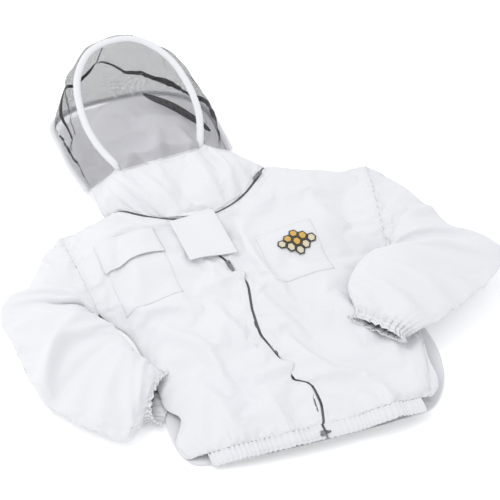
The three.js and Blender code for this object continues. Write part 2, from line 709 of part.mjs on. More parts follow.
// ---- hood cloth: a bib up the front with its two skirts, and the back on the table -----------------
const bibEdge = 0.26;         // share of the bib's width that each skirt takes
const bibCrown = 3;
function bibTop(share) {
  const seam = new THREE.Vector3(0, -2 * netThickness, 0);
  if (share < bibEdge) return sideNet(0, 1 - share / bibEdge).add(seam);
  if (share > 1 - bibEdge) return sideNet(1, 1 - (1 - share) / bibEdge).add(seam);
  const t = (share - bibEdge) / (1 - 2 * bibEdge);
  const from = sideNet(0, 0).add(seam);
  const to = sideNet(1, 0).add(seam);
  const top = from.clone().lerp(to, t);
  const level = 4 * t * (1 - t);
  const hinge = new THREE.Vector3(top.x, faceHingeY - 1.5 * netThickness, faceHingeZ);
  return top.lerp(hinge, Math.min(1, 3 * level));
}
function bib(share, v) {
  const [x, y] = neckPoint(mix(-1, 1, share), clothSetback);
  const foot = new THREE.Vector3(x, y, chestAt(x, y) + layer + cloth / 2 + gap);
  const top = bibTop(share);
  const along = foot.lerp(top, v);
  along.z += bibCrown * Math.sin(Math.PI * v) ** 2 * Math.sin(Math.PI * share);
  return along;
}
add('hood_bib', skin(bib, 24, 5, cloth), whiteCloth(), hood);

function hoodBack() {
  const neckBack = steps(12).map((t) => {
    const x = mix(-neckHalf, neckHalf, t);
    return [x, neckEndY + neckBackRise * (1 - (x / neckHalf) ** 2) + 2 * gap];
  });
  const crown = rearRing.map(({ point, out }) => {
    const edge = point.clone().addScaledVector(out, hoopChannel);
    return [edge.x, edge.y];
  }).reverse();
  return prism([...neckBack, ...crown], 0, cloth);
}
add('hood_back', hoodBack(), innerCloth(), hood);

// ---- throat flap, sewn to the bib and lying over the meeting of the zips ----------------------------
const flapRight = zipX - 71;
const flapLeft = zipX + 26;
const flapDropRight = -30;
const flapDropLeft = -48;
const flapFoot = 3;
const bibLift = 5.2;          // how far the bib has risen where the flap is sewn to it
const anchorBottom = 2 * layer + bibLift;
const anchorTop = 5 * layer - gap;
const throatEdge = (offset, from, to) => neckLine(offset, from / neckHalf, to / neckHalf, 6);
add('throat_flap_seam', sheet(anchorBottom, anchorTop - anchorBottom).intersect(
  prism([...throatEdge(4, flapRight + 4, flapLeft - 4),
    ...throatEdge(14, flapLeft - 4, flapRight + 4)])), whiteCloth(), hood);
const throatOutline = [[flapRight, flapDropRight], [flapLeft, flapDropLeft],
  [flapLeft, neckFrontY + flapFoot + 6], [flapRight, neckFrontY + flapFoot + 6]];
add('throat_flap', slice(throatOutline, 5), whiteCloth(), hood);
const touchStrip = strip(flapRight + 6, zipX - 14, flapDropRight + 6, flapDropRight + 28);
const touchThickness = 1.4;
add('throat_loop_tape', sheet(5 * layer - gap - touchThickness, touchThickness).intersect(
  prism(touchStrip)), touchTape(), hood);
add('throat_hook_tape', sheet(2 * layer, touchThickness).intersect(prism(touchStrip)),
  touchTape());

export default suit;
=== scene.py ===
import bpy
import numpy as np
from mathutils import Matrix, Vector


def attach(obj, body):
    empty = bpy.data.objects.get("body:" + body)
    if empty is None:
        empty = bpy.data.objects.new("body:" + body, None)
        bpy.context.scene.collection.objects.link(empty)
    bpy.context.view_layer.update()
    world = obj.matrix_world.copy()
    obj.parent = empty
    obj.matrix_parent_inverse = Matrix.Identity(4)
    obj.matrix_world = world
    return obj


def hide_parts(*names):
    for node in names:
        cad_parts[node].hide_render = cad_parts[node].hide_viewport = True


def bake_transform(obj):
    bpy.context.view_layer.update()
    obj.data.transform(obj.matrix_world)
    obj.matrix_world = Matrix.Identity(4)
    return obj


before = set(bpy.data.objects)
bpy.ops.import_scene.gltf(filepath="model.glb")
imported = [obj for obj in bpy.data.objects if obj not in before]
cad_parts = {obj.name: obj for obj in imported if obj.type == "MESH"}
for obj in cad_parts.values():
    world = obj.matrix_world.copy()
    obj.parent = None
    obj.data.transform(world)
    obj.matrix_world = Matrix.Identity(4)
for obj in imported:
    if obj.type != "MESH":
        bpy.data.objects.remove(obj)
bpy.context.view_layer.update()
scene = bpy.context.scene

# ---- Camera ---------------------------------------------------------------------------------
# A long lens at head height, a little to the wearer's right of the hem, looking down at the
# garment on the table.
azimuth, elevation, distance = np.radians(-23.5), np.radians(46.0), 3.0
target = Vector((0.06, 0.0, 0.0))
ground = distance * np.cos(elevation)
eye = target + Vector((ground * np.sin(azimuth), -ground * np.cos(azimuth),
                       distance * np.sin(elevation)))
camera = bpy.data.objects.new("camera", bpy.data.cameras.new("camera"))
camera.data.lens, camera.data.sensor_width = 103.7, 36.0
camera.location = eye
camera.rotation_euler = (target - eye).to_track_quat("-Z", "Y").to_euler()
scene.collection.objects.link(camera)
scene.camera = camera

# ---- Table and light ------------------------------------------------------------------------
# A seamless white sweep under a bright overcast dome, with one broad soft key from the upper
# left so that the folds keep a faint shadow side.
scene.view_settings.view_transform = "Standard"
world = bpy.data.worlds.new("dome")
world.use_nodes = True
sky = world.node_tree.nodes["Background"]
sky.inputs["Color"].default_value = (0.97, 0.98, 1.0, 1)
sky.inputs["Strength"].default_value = 0.985
scene.world = world

wide, level = 6.0, -0.0004
table = bpy.data.meshes.new("table")
table.from_pydata([(-wide, -wide, level), (wide, -wide, level), (wide, wide, level),
                   (-wide, wide, level)], [], [(0, 1, 2, 3)])
floor = bpy.data.objects.new("table", table)
scene.collection.objects.link(floor)
sweep = bpy.data.materials.new("white_sweep")
sweep.use_nodes = True
paint = sweep.node_tree.nodes["Principled BSDF"]
paint.inputs["Base Color"].default_value = (1.0, 1.0, 1.0, 1)
paint.inputs["Roughness"].default_value = 0.9
paint.inputs["Specular IOR Level"].default_value = 0.1
paint.inputs["Emission Color"].default_value = (1, 1, 1, 1)
paint.inputs["Emission Strength"].default_value = 0.12
table.materials.append(sweep)


def softbox(name, place, size, power):
    """A square area light at 'place' that faces the garment's middle."""
    light = bpy.data.objects.new(name, bpy.data.lights.new(name, "AREA"))
    light.data.size, light.data.energy = size, power
    light.location = place
    light.rotation_euler = (Vector((0, 0, 0)) - Vector(place)).to_track_quat("-Z", "Y").to_euler()
    scene.collection.objects.link(light)
    return light


key = softbox("key", (-1.4, 1.0, 2.6), 1.4, 19)


# ---- Shader maths ---------------------------------------------------------------------------
# One class writes a material's arithmetic as ordinary expressions, so that each finish below
# reads as a formula on places and maps.
class Wire:
    """A shader socket on which + - * / work as they do on numbers."""

    def __init__(self, tree, socket):
        self.tree, self.socket = tree, socket

    def node(self, kind, inputs, out=0, **settings):
        """Adds a node of that kind with these inputs and returns one of its outputs."""
        made = self.tree.nodes.new("ShaderNode" + kind)
        for key, value in settings.items():
            setattr(made, key, value)
        for key, value in inputs.items():
            if isinstance(value, Wire):
                self.tree.links.new(value.socket, made.inputs[key])
            else:
                made.inputs[key].default_value = value
        return Wire(self.tree, made.outputs[out])

    def maths(self, operation, *others):
        """A Math node's operation on this value and the others."""
        return self.node("Math", dict(enumerate((self, *others))), operation=operation)

    def __add__(self, other):
        return self.maths("ADD", other)

    def __sub__(self, other):
        return self.maths("SUBTRACT", other)

    def __mul__(self, other):
        return self.maths("MULTIPLY", other)

    def __truediv__(self, other):
        return self.maths("DIVIDE", other)

    def __rsub__(self, other):
        return (self * -1.0) + other

    __radd__ = __add__
    __rmul__ = __mul__

    def wave(self, length):
        """A sine of this length, from -1 to 1."""
        return (self * (2 * np.pi / length)).maths("SINE")

    def below(self, limit, soft):
        """1 below the limit and 0 above it, turning smoothly over 'soft'."""
        return self.node("MapRange", {"Value": self, "From Min": limit - soft,
                                      "From Max": limit + soft, "To Min": 1.0, "To Max": 0.0},
                         interpolation_type="SMOOTHSTEP")

    def mixed(self, dark, light):
        """The colour 'dark' at 0 and 'light' at 1."""
        return self.node("Mix", {0: self, 6: (*dark, 1), 7: (*light, 1)}, out=2,
                         data_type="RGBA")


def start_material(name):
    """An empty material with its Principled shader and the wire of Object coordinates."""
    material = bpy.data.materials.new(name)
    material.use_nodes = True
    tree = material.node_tree
    place = Wire(tree, tree.nodes.new("ShaderNodeTexCoord").outputs["Object"])
    return material, tree.nodes["Principled BSDF"], place


def cloth_maps(shader):
    """The wires of a piece's two maps: across and along the flat cloth, then the way along
    the nearest sewn edge and the distance from it."""
    tree, wires = shader.id_data, []
    for title in ("cut", "seam"):
        source = tree.nodes.new("ShaderNodeUVMap")
        source.uv_map = title
        both = Wire(tree, source.outputs[0])
        wires += [both.node("SeparateXYZ", {0: both}, out=k) for k in (0, 1)]
    return wires


def relief(shader, height):
    """Raises the shader's surface by 'height' metres."""
    tree = shader.id_data
    bump = tree.nodes.new("ShaderNodeBump")
    bump.inputs["Distance"].default_value = 1.0
    tree.links.new(height.socket, bump.inputs["Height"])
    tree.links.new(bump.outputs[0], shader.inputs["Normal"])


def cloth_material(name, lit, shaded, crumple=0.0011, topstitch=0.006):
    """Matt polyester-cotton: a twill weave, fine crumples, puckers along each sewn edge and a row
    of topstitching 'topstitch' metres inside it.
    Its colour is mixed from 'lit' and 'shaded', a painted lilac shade."""
    material, shader, place = start_material(name)
    across, along, run, depth = cloth_maps(shader)
    thread, stitch_step, pucker_depth = 0.0009, 0.0034, 0.016
    soft = place.node("TexNoise", {"Vector": place, "Scale": 16.0, "Detail": 3.0,
                                   "Roughness": 0.45, "Distortion": 0.5})
    broad = place.node("TexNoise", {"Vector": place, "Scale": 5.0, "Detail": 2.0})
    weave = across.wave(thread) * (along + across * 0.5).wave(thread)
    dash = (run / stitch_step).maths("FRACT").below(0.68, 0.05)
    line = (depth - topstitch).maths("ABSOLUTE").below(0.0006, 0.0004)
    stitch = line * dash
    lump = place.node("TexNoise", {"Vector": place, "Scale": 95.0, "Detail": 1.0})
    pucker = (lump - 0.5) * (1.0 - (depth / pucker_depth).maths("MINIMUM", 1.0))
    height = (soft * crumple + weave * 0.00003 + pucker * 0.0011
              + stitch * 0.00025 - line * 0.00015)
    relief(shader, height)
    # Painted shade: broad random blotches mix the lit colour with the painted lilac shade, and
    # the sunken gaps between stitches are pulled further into that painted shade.
    shade = (broad - 0.5) * 0.5 + 0.72 - line * (1.0 - dash) * 0.20
    tree = shader.id_data
    tree.links.new(shade.mixed(shaded, lit).socket, shader.inputs["Base Color"])
    shader.inputs["Roughness"].default_value = 0.88
    shader.inputs["Specular IOR Level"].default_value = 0.25
    shader.inputs["Sheen Weight"].default_value = 0.12
    shader.inputs["Sheen Roughness"].default_value = 0.5
    return material


# The second colour is a painted lilac shade of the first.
white_cloth = cloth_material("white_cloth", (0.815, 0.815, 0.83), (0.76, 0.755, 0.79))
# The hood's back lies single on a bright table. Its colours are painted brighter than the outer
# cloth's, and it glows faintly though it is no lamp: painted light that lifts it where the net
# shades it.
painted_glow_cloth = cloth_material("painted_glow_cloth", (0.93, 0.925, 0.955), (0.84, 0.835, 0.88))
painted_glow_shader = painted_glow_cloth.node_tree.nodes["Principled BSDF"]
painted_glow_shader.inputs["Emission Color"].default_value = (0.97, 0.96, 1.0, 1)
painted_glow_shader.inputs["Emission Strength"].default_value = 0.16


# ---- Cloth surfaces -------------------------------------------------------------------------
# Every sewn piece is a grid of points that keeps, in two maps, its place on the flat cloth
# and how far each point is from the nearest sewn edge.
def lengths(points):
    """Distance along the rows of points[..., n, 3], from 0 at the first."""
    step = np.linalg.norm(np.diff(points, axis=-2), axis=-1)
    return np.concatenate([np.zeros((*step.shape[:-1], 1)), np.cumsum(step, -1)], -1)


def piece(name, grid, material, ring=False, sewn="", flip=False, body=None):
    """A surface over grid[row, column]. A ring joins its last column to its first. 'sewn' names
    the edges with a seam: b and t for the first and last row, l and r for the columns."""
    rows, columns = grid.shape[:2]
    wide = np.concatenate([grid, grid[:, :1]], 1) if ring else grid
    across, along = lengths(wide), lengths(wide.swapaxes(0, 1)).T
    edges = {"b": (across, along), "t": (across, along[-1:] - along),
             "l": (along, across), "r": (along, across[:, -1:] - across)}
    run, depth = across, np.full(across.shape, 0.05)
    for edge in sewn:
        near = edges[edge][1] < depth
        run = np.where(near, edges[edge][0], run)
        depth = np.where(near, edges[edge][1], depth)
    i, j = np.mgrid[:rows - 1, :wide.shape[1] - 1]
    corners = [(i, j), (i, j + 1), (i + 1, j + 1), (i + 1, j)]
    corners = corners[::-1] if flip else corners
    faces = np.stack([a * columns + b % columns for a, b in corners], -1).reshape(-1, 4)
    mesh = bpy.data.meshes.new(name)
    mesh.from_pydata(grid.reshape(-1, 3), [], faces)
    for title, first, second in (("cut", across, along), ("seam", run, depth)):
        values = np.stack([np.stack([first[c], second[c]], -1) for c in corners], -2)
        mesh.uv_layers.new(name=title).data.foreach_set("uv", values.astype("f").ravel())
    mesh.polygons.foreach_set("use_smooth", np.ones(len(faces), bool))
    mesh.materials.append(material)
    made = bpy.data.objects.new(name, mesh)
    scene.collection.objects.link(made)
    if body:
        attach(made, body)
    return made


def points_of(thing):
    """The piece's points as an array."""
    flat = np.empty(len(thing.data.vertices) * 3)
    thing.data.vertices.foreach_get("co", flat)
    return flat.reshape(-1, 3)


def settle(thing, held, slack, frames, stiff, most):
    """Lets the cloth find its own wrinkles: rest lengths grow by 'slack', the points where
    'held' is 1 stay put, and no point moves more than 'most'."""
    before = points_of(thing)
    group = thing.vertex_groups.new(name="held")
    for weight in np.unique(held):
        group.add(np.flatnonzero(held.ravel() == weight).tolist(), float(weight), "REPLACE")
    cloth = thing.modifiers.new("cloth", "CLOTH")
    cloth.settings.vertex_group_mass = "held"
    cloth.settings.quality = 6
    cloth.settings.mass = 0.25
    cloth.settings.air_damping = 3.0
    cloth.settings.tension_stiffness = cloth.settings.compression_stiffness = 30.0
    cloth.settings.shear_stiffness = 8.0
    cloth.settings.bending_stiffness = stiff
    cloth.settings.shrink_min = cloth.settings.shrink_max = -slack
    cloth.settings.effector_weights.gravity = 0.0
    cloth.collision_settings.use_collision = False
    cloth.point_cache.frame_end = frames
    for step in range(1, frames + 1):
        scene.frame_set(step)
    shown = thing.evaluated_get(bpy.context.evaluated_depsgraph_get())
    solved = shown.to_mesh()
    after = np.empty(len(before) * 3)
    solved.vertices.foreach_get("co", after)
    shown.to_mesh_clear()
    thing.modifiers.remove(cloth)
    thing.vertex_groups.remove(group)
    scene.frame_set(1)
    move = after.reshape(-1, 3) - before
    far = np.linalg.norm(move, axis=1, keepdims=True)
    moved = before + move * (np.tanh(far / most) * most / np.maximum(far, 1e-9))
    thing.data.vertices.foreach_set("co", moved.ravel())
    thing.data.update()


def place_points(thing, grid):
    """Moves the piece's points to the grid's."""
    thing.data.vertices.foreach_set("co", grid.reshape(-1, 3).ravel())
    thing.data.update()


def thicken(thing, thickness=0.0007):
    """Gives the cloth its thickness on the inner side."""
    wall = thing.modifiers.new("thickness", "SOLIDIFY")
    wall.thickness, wall.offset = thickness, -1.0


def declare(grid):
    """Measures the piece's widest row and longest column, and keeps neither."""
    wide, tall = lengths(grid)[:, -1].max(), lengths(grid.swapaxes(0, 1))[:, -1].max()


def spline(knots, t):
    """Catmull-Rom: a curve through every knot, whose slope at a knot is half the step between
    its neighbours; t runs from 0 to 1."""
    knots = np.asarray(knots, float)
    last = len(knots) - 1
    s = np.clip(np.asarray(t, float) * last, 0, last - 1e-9)
    i = s.astype(int)
    w = (s - i)[..., None]
    a, b = knots[np.maximum(i - 1, 0)], knots[i]
    c, d = knots[i + 1], knots[np.minimum(i + 2, last)]
    va, vb = (c - a) / 2, (d - b) / 2
    return (2 * b - 2 * c + va + vb) * w**3 + (3 * c - 3 * b - 2 * va - vb) * w**2 + va * w + b


def smooth(t):
    """An easing from 0 to 1: 3t squared less 2t cubed."""
    t = np.clip(t, 0, 1)
    return t * t * (3 - 2 * t)


def even(line, count):
    """The polyline resampled to 'count' points, evenly by length."""
    at = lengths(line)
    want = np.linspace(0, at[-1], count)
    return np.stack([np.interp(want, at, line[:, k]) for k in range(line.shape[1])], 1)


def ripple(seed, count, *where, low=3.0, high=9.0):
    """A seeded sum of 'count' sines over the coordinates given, from about -1 to 1."""
    rng = np.random.default_rng(seed)
    total = 0
    for _ in range(count):
        turn, size, phase = rng.uniform(0, 2 * np.pi), rng.uniform(low, high), rng.uniform(0, 6.3)
        direction = (np.cos(turn), np.sin(turn))
        total = total + np.sin(2 * np.pi * size * sum(
            d * w for d, w in zip(direction, where)) + phase)
    return total / np.sqrt(count)


def fold(x, y, line, width, height):
    """Height of a soft fold along a plan polyline: a bell across it that fades at both ends."""
    line = np.asarray(line, float)
    best = np.full(x.shape, 9.0)
    fade = np.zeros(x.shape)
    total = lengths(line)
    for k in range(len(line) - 1):
        step = line[k + 1] - line[k]
        t = ((x - line[k, 0]) * step[0] + (y - line[k, 1]) * step[1]) / (step @ step)
        t = np.clip(t, 0, 1)
        off = np.hypot(x - line[k, 0] - t * step[0], y - line[k, 1] - t * step[1])
        share = (total[k] + t * (total[k + 1] - total[k])) / total[-1]
        fade = np.where(off < best, np.sin(np.pi * np.clip(share, 0.06, 0.94)) ** 0.7, fade)
        best = np.minimum(best, off)
    return height * np.exp(-(best / width) ** 2) * fade


# ---- Jacket body: the plan and the rise of the chest -----------------------------------------
# The body is cut from flat polyester-cotton: two fronts sewn to the back at the side and
# shoulder seams. Laid down with air in it, the fronts stand about 50 mm high along the zip.
zip_x, hem_y, neck_half = -0.014, -0.515, 0.188
neck_front, neck_back = 0.076, 0.200
ridge_foot, ridge_top, ridge_run = 0.024, 0.052, 0.575
hem_casing = 0.027      # height of the band folded over the hem's elastic
zip_edge = 0.0024       # from the middle of a zip to the cloth sewn beside it
armpit = {-1: np.array([-0.292, -0.060]), 1: np.array([0.311, -0.131])}
shoulder = {-1: np.array([-0.298, 0.170]), 1: np.array([0.384, 0.115])}
hem_corner = {-1: -0.222, 1: 0.190}


def hem_line(x):
    """The bottom edge in plan: a shallow parabola that falls away to the wearer's left."""
    return hem_y - 0.12 * (x - zip_x) + 0.2 * (x - zip_x) ** 2


def side_seam(side):
    """The side seam from the armpit down to the hem, as 60 points."""
    top, corner = armpit[side], hem_corner[side]
    hip, tuck = {-1: (-0.268, 0.040), 1: (0.272, 0.030)}[side]
    down = [top[1] + (hem_y - top[1]) * share for share in (0.15, 0.42, 0.66, 0.83)]
    waist = top[0] - side * tuck
    return spline([top, (waist, down[0]), (waist, down[1]), (hip, down[2]),
                   (0.75 * hip + 0.25 * corner, down[3]), (corner, hem_line(corner))],
                  np.linspace(0, 1, 60))


def neck_ring(u, offset=0.0):
    """The front of the neck ring, a parabola from u = -1 on the right shoulder to 1 on the
    left; 'offset' moves it towards the head."""
    drop = neck_back - neck_front
    slope = 2 * drop * u / neck_half
    norm = np.hypot(1, slope)
    return np.stack([u * neck_half - offset * slope / norm,
                     neck_front + drop * u * u + offset / norm], -1)


def reach(side, y):
    """Distance from the zip to the side seam at height y; it opens out past the armpit."""
    seam = side_seam(side)[::-1]
    below = np.abs(np.interp(y, seam[:, 1], seam[:, 0]) - zip_x)
    above = abs(armpit[side][0] - zip_x) + 0.09 * smooth((y - armpit[side][1]) / 0.09)
    return np.where(y >= armpit[side][1], above, below)


def chest(x, y):
    """Height of the front cloth: the ridge height along the zip, times a rounded fall to the
    side seam, times a rounded fall to the shoulder line."""
    climb = (ridge_top - ridge_foot) / ridge_run
    ridge = np.minimum(ridge_top, ridge_foot + climb * (y - hem_y))
    wide = np.where(x < zip_x, reach(-1, y), reach(1, y))
    share = np.clip(np.abs(x - zip_x) / wide, 0, 1)
    tip = np.where(x < 0, shoulder[-1][0], shoulder[1][0])
    tip_y = np.where(x < 0, shoulder[-1][1], shoulder[1][1])
    root = np.where(x < 0, -neck_half, neck_half)
    line = neck_back + (x - root) * (tip_y - neck_back) / (tip - root)
    near = np.clip((line - y) / 0.060, 0, 1)
    return ridge * (1 - share**2.5) ** 0.75 * (1 - (1 - near) ** 2.2)


def zip_line(y):
    """The zip's middle: straight between knots, jumping sideways under each tuck."""
    knots = [(-0.560, 0.003), (-0.522, 0.004), (-0.479, 0.008), (-0.435, 0.016), (-0.399, 0.025),
             (-0.367, 0.027), (-0.348, 0.026), (-0.338, 0.001), (-0.288, -0.004),
             (-0.231, -0.014), (-0.175, -0.004), (-0.124, 0.013), (-0.103, 0.014),
             (-0.093, -0.001), (-0.070, 0.000), (-0.052, -0.001), (-0.028, -0.011),
             (0.000, -0.011), (0.040, -0.004), (0.080, 0.000)]
    return zip_x + np.interp(y, *zip(*knots))


# Each tuck's place up the zip, how far it laps over the zip, and its half height.
tucks = ((-0.099, 0.017, 0.0110), (-0.344, 0.020, 0.0150))


def tuck_over(y):
    """How far the right front laps over the zip: a tongue at each horizontal tuck."""
    return sum(width * np.exp(-((y - middle) / half) ** 2) for middle, width, half in tucks)


def gather(run, seed):
    """Ruffles of elasticated cloth: a sine of about 9 mm whose pitch and height wander."""
    drift = 0.004 * ripple(seed, 4, run, 0 * run, low=6, high=14)
    height = 0.60 + 0.55 * ripple(seed + 1, 4, run, 0 * run, low=8, high=20)
    return np.sin(2 * np.pi * (run + drift) / 0.0090) * height


# Soft folds of the two fronts: each one's line in plan, its half width and its height.
front_folds = [
    ([(-0.225, -0.120), (-0.175, -0.190), (-0.128, -0.250), (-0.110, -0.330)], 0.016, 0.012),
    ([(-0.132, -0.184), (-0.120, -0.255), (-0.114, -0.320), (-0.105, -0.394)], 0.012, -0.010),
    ([(-0.081, -0.141), (-0.060, -0.248), (-0.030, -0.340)], 0.013, 0.010),
    ([(-0.190, -0.300), (-0.165, -0.370), (-0.150, -0.450)], 0.014, 0.010),
    ([(-0.080, -0.380), (-0.070, -0.440), (-0.062, -0.500)], 0.012, 0.008),
    ([(-0.250, -0.060), (-0.205, -0.105), (-0.130, -0.135)], 0.013, 0.008),
    ([(-0.060, 0.020), (-0.050, -0.060), (-0.055, -0.120)], 0.011, 0.006),
    ([(0.045, 0.060), (0.040, -0.020), (0.046, -0.110), (0.066, -0.203)], 0.013, 0.010),
    ([(0.030, -0.130), (0.060, -0.230), (0.085, -0.320)], 0.015, -0.009),
    ([(0.010, -0.250), (0.033, -0.334), (0.060, -0.380), (0.120, -0.417)], 0.014, 0.011),
    ([(0.120, -0.417), (0.135, -0.450), (0.140, -0.520)], 0.012, 0.009),
    ([(0.140, -0.200), (0.165, -0.270), (0.170, -0.360)], 0.016, 0.011),
    ([(0.210, 0.060), (0.225, -0.010), (0.260, -0.070)], 0.016, 0.010),
    ([(0.150, 0.090), (0.200, 0.060), (0.270, 0.050)], 0.014, 0.009),
    ([(0.205, -0.250), (0.215, -0.330), (0.200, -0.410)], 0.014, 0.009),
    ([(-0.250, 0.120), (-0.200, 0.100), (-0.140, 0.110)], 0.012, 0.006),
]


def front_plan(side, rows, columns):
    """Plan of one front: each row runs from the outer edge (side seam, then armhole) to the
    inner edge (zip, then neck ring), and the first row follows the hem's seam."""
    seam = side_seam(side)[::-1]
    seam = seam[seam[:, 1] > hem_line(seam[:, 0]) + hem_casing - 0.001]
    outer = even(np.concatenate([seam, [armpit[side]], [shoulder[side]]]), rows)
    y = np.linspace(hem_line(zip_x) + hem_casing, 0.070, 60)
    straight = np.stack([zip_line(y) + side * zip_edge, y], 1)
    ring = neck_ring(np.linspace(side * 0.07, side, 40), -zip_edge)
    inner = even(np.concatenate([straight, ring]), rows)
    t = np.linspace(0, 1, columns)[None, :, None]
    plan = outer[:, None] * (1 - t) + inner[:, None] * t
    low = (1 - np.linspace(0, 1, rows)[:, None]) ** 6
    line = hem_line(plan[..., 0]) + hem_casing
    plan[..., 1] += (line - plan[..., 1]) * low
    return plan


def sleeve_top(side, x, y):
    """Height of the armhole's edge: half an ellipse over the chord from armpit to shoulder."""
    chord = shoulder[side] - armpit[side]
    t = ((x - armpit[side][0]) * chord[0] + (y - armpit[side][1]) * chord[1]) / (chord @ chord)
    tall = {-1: 0.038, 1: 0.040}[side]
    return tall / 2 + tall / 2 * np.sqrt(np.clip(1 - (2 * t - 1) ** 2, 0, 1))


def front_surface(side, rows, columns):
    """The front laid over the chest's rise, its armhole edge raised to meet the sleeve and its
    side seam brought down to the back panel."""
    plan = front_plan(side, rows, columns)
    x, y = plan[..., 0], plan[..., 1]
    z = chest(x, y) + 0.0050
    v = np.linspace(0, 1, rows)[:, None]
    for line, width, height in front_folds:
        z = z + fold(x, y, line, width, height)
    z += 0.0015 * ripple(20 + side, 14, x, y, low=5, high=14)
    lap = sum(np.exp(-((y - middle) / 0.012) ** 2) for middle, _, _ in tucks)
    z += 0.0035 * lap * np.exp(-((x - zip_x) / 0.05) ** 2)
    low = np.exp(-(((y - hem_line(x)) / 0.075) ** 2))
    z += 0.012 * low * smooth((x - 0.04) / 0.10)
    chord = shoulder[side] - armpit[side]
    normal = np.array([chord[1], -chord[0]]) / np.linalg.norm(chord)
    inside = np.abs((x - armpit[side][0]) * normal[0] + (y - armpit[side][1]) * normal[1])
    above = smooth((y - armpit[side][1] + 0.02) / 0.02)
    near = (1 - smooth(inside / 0.055)) * above
    z = z * (1 - near) + sleeve_top(side, x, y) * near
    z = np.maximum(z, 0.0045)
    return np.stack([x, y, z], -1)


def edge_hold(rows, columns, edges, soft=3):
    """1 on the named edges, falling to 0 over 'soft' points."""
    i, j = np.mgrid[:rows, :columns]
    near = np.full((rows, columns), 99)
    for edge, far in (("b", i), ("t", rows - 1 - i), ("l", j), ("r", columns - 1 - j)):
        if edge in edges:
            near = np.minimum(near, far)
    return np.round(np.clip(1 - near / soft, 0, 1), 2)


# Where the side seam turns in over itself: how sharply, its middle and half height, then how
# far the cloth moves in and up.
turned_in = {-1: (4, -0.365, 0.028, 0.026, 0.010), 1: (3, -0.430, 0.060, 0.022, 0.024)}
fronts = {}
rows, columns = 150, 84
t = np.linspace(0, 1, columns)
for side, title in ((-1, "right"), (1, "left")):
    grid = front_surface(side, rows, columns)
    made = piece(f"{title}_front", grid, white_cloth, sewn="btlr", flip=side > 0)
    settle(made, edge_hold(rows, columns, "btlr"), slack=0.030, frames=22, stiff=4.0, most=0.014)
    grid = points_of(made).reshape(rows, columns, 3)
    ruffle = gather(grid[..., 0], 40 + side)
    fade = np.exp(-(grid[..., 1] - hem_line(grid[..., 0]) - hem_casing) / 0.030)
    grid[..., 2] += 0.0013 * ruffle * fade
    power, middle, half, inward, rise = turned_in[side]
    away = (1 - t) ** power * np.exp(-((grid[..., 1] - middle) / half) ** 2)
    grid[..., 0] -= side * inward * away
    grid[..., 2] += rise * away
    if side < 0:
        over = tuck_over(grid[..., 1]) * t**6
        grid[..., 0] += over
        grid[..., 2] += 0.0030 * smooth(over / 0.012)
    ring = neck_ring(np.linspace(-1, 1, 160))
    from_ring = np.hypot(grid[..., :1] - ring[:, 0], grid[..., 1:2] - ring[:, 1]).min(-1)
    near_zip = np.minimum(np.abs(grid[..., 0] - zip_line(grid[..., 1])), from_ring) < 0.016
    grid[..., 2] = np.where(near_zip, np.maximum(
        grid[..., 2], chest(grid[..., 0], grid[..., 1]) + 0.0044), grid[..., 2])
    grid[..., 2] = np.maximum(grid[..., 2], 0.0035)
    place_points(made, grid)
    fronts[side] = grid
    declare(grid)
    thicken(made)
    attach(made, "jacket")
    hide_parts(f"front_panel_{title}")


def on_front(side, x, y, lift):
    """Points at plan places (x, y), raised by 'lift' over the settled front: each height is
    the mean of the front's six nearest points, weighted by one over distance squared."""
    margin, count = 0.020, 6
    wanted = np.stack([np.ravel(x), np.ravel(y)], -1)
    flat = fronts[side].reshape(-1, 3)
    near = (flat[:, :2] > wanted.min(0) - margin) & (flat[:, :2] < wanted.max(0) + margin)
    flat = flat[near.all(1)]
    far = ((wanted[:, None] - flat[:, :2]) ** 2).sum(-1)
    best = np.argpartition(far, count, axis=1)[:, :count]
    weight = 1 / (np.take_along_axis(far, best, 1) + 1e-7)
    height = (flat[best, 2] * weight).sum(1) / weight.sum(1)
    return np.stack([x, y, height.reshape(np.shape(x)) + lift], -1)


# ---- Back panel -----------------------------------------------------------------------------
# One flat panel of the same cloth under everything; it lies on the table and shows past the
# fronts at the hem and along the left side.
rows, columns = 120, 120
right, left = side_seam(-1)[::-1], side_seam(1)[::-1]
right = even(np.concatenate([right, [shoulder[-1]]]), rows)
left = even(np.concatenate([left, [shoulder[1]]]), rows)
t = np.linspace(0, 1, columns)[None, :, None]
plan = right[:, None] * (1 - t) + left[:, None] * t
v = np.linspace(0, 1, rows)[:, None]
plan[..., 1] += (hem_line(plan[..., 0]) + 0.011 - plan[..., 1]) * (1 - v) ** 6
plan[..., 0] += 0.014 * t[..., 0] ** 8 * np.exp(-((plan[..., 1] + 0.380) / 0.090) ** 2)
bow = neck_back + 0.022 * (1 - np.clip(plan[..., 0] / neck_half, -1, 1) ** 2)
plan[..., 1] += (bow - plan[..., 1]) * v**8 * (np.abs(plan[..., 0]) < neck_half)
z = 0.0016 + 0.0004 * ripple(3, 8, plan[..., 0], plan[..., 1])
ruffle = gather(plan[..., 0], 60) * np.exp(-((plan[..., 1] - hem_line(plan[..., 0])) / 0.030))
z = z + 0.0012 * np.maximum(ruffle + 0.6, 0)
grid = np.stack([plan[..., 0], plan[..., 1], z], -1)
back = piece("back", grid, white_cloth, sewn="blr")
declare(grid)
thicken(back)
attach(back, "jacket")
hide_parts("back_panel", "hem_elastic_back")


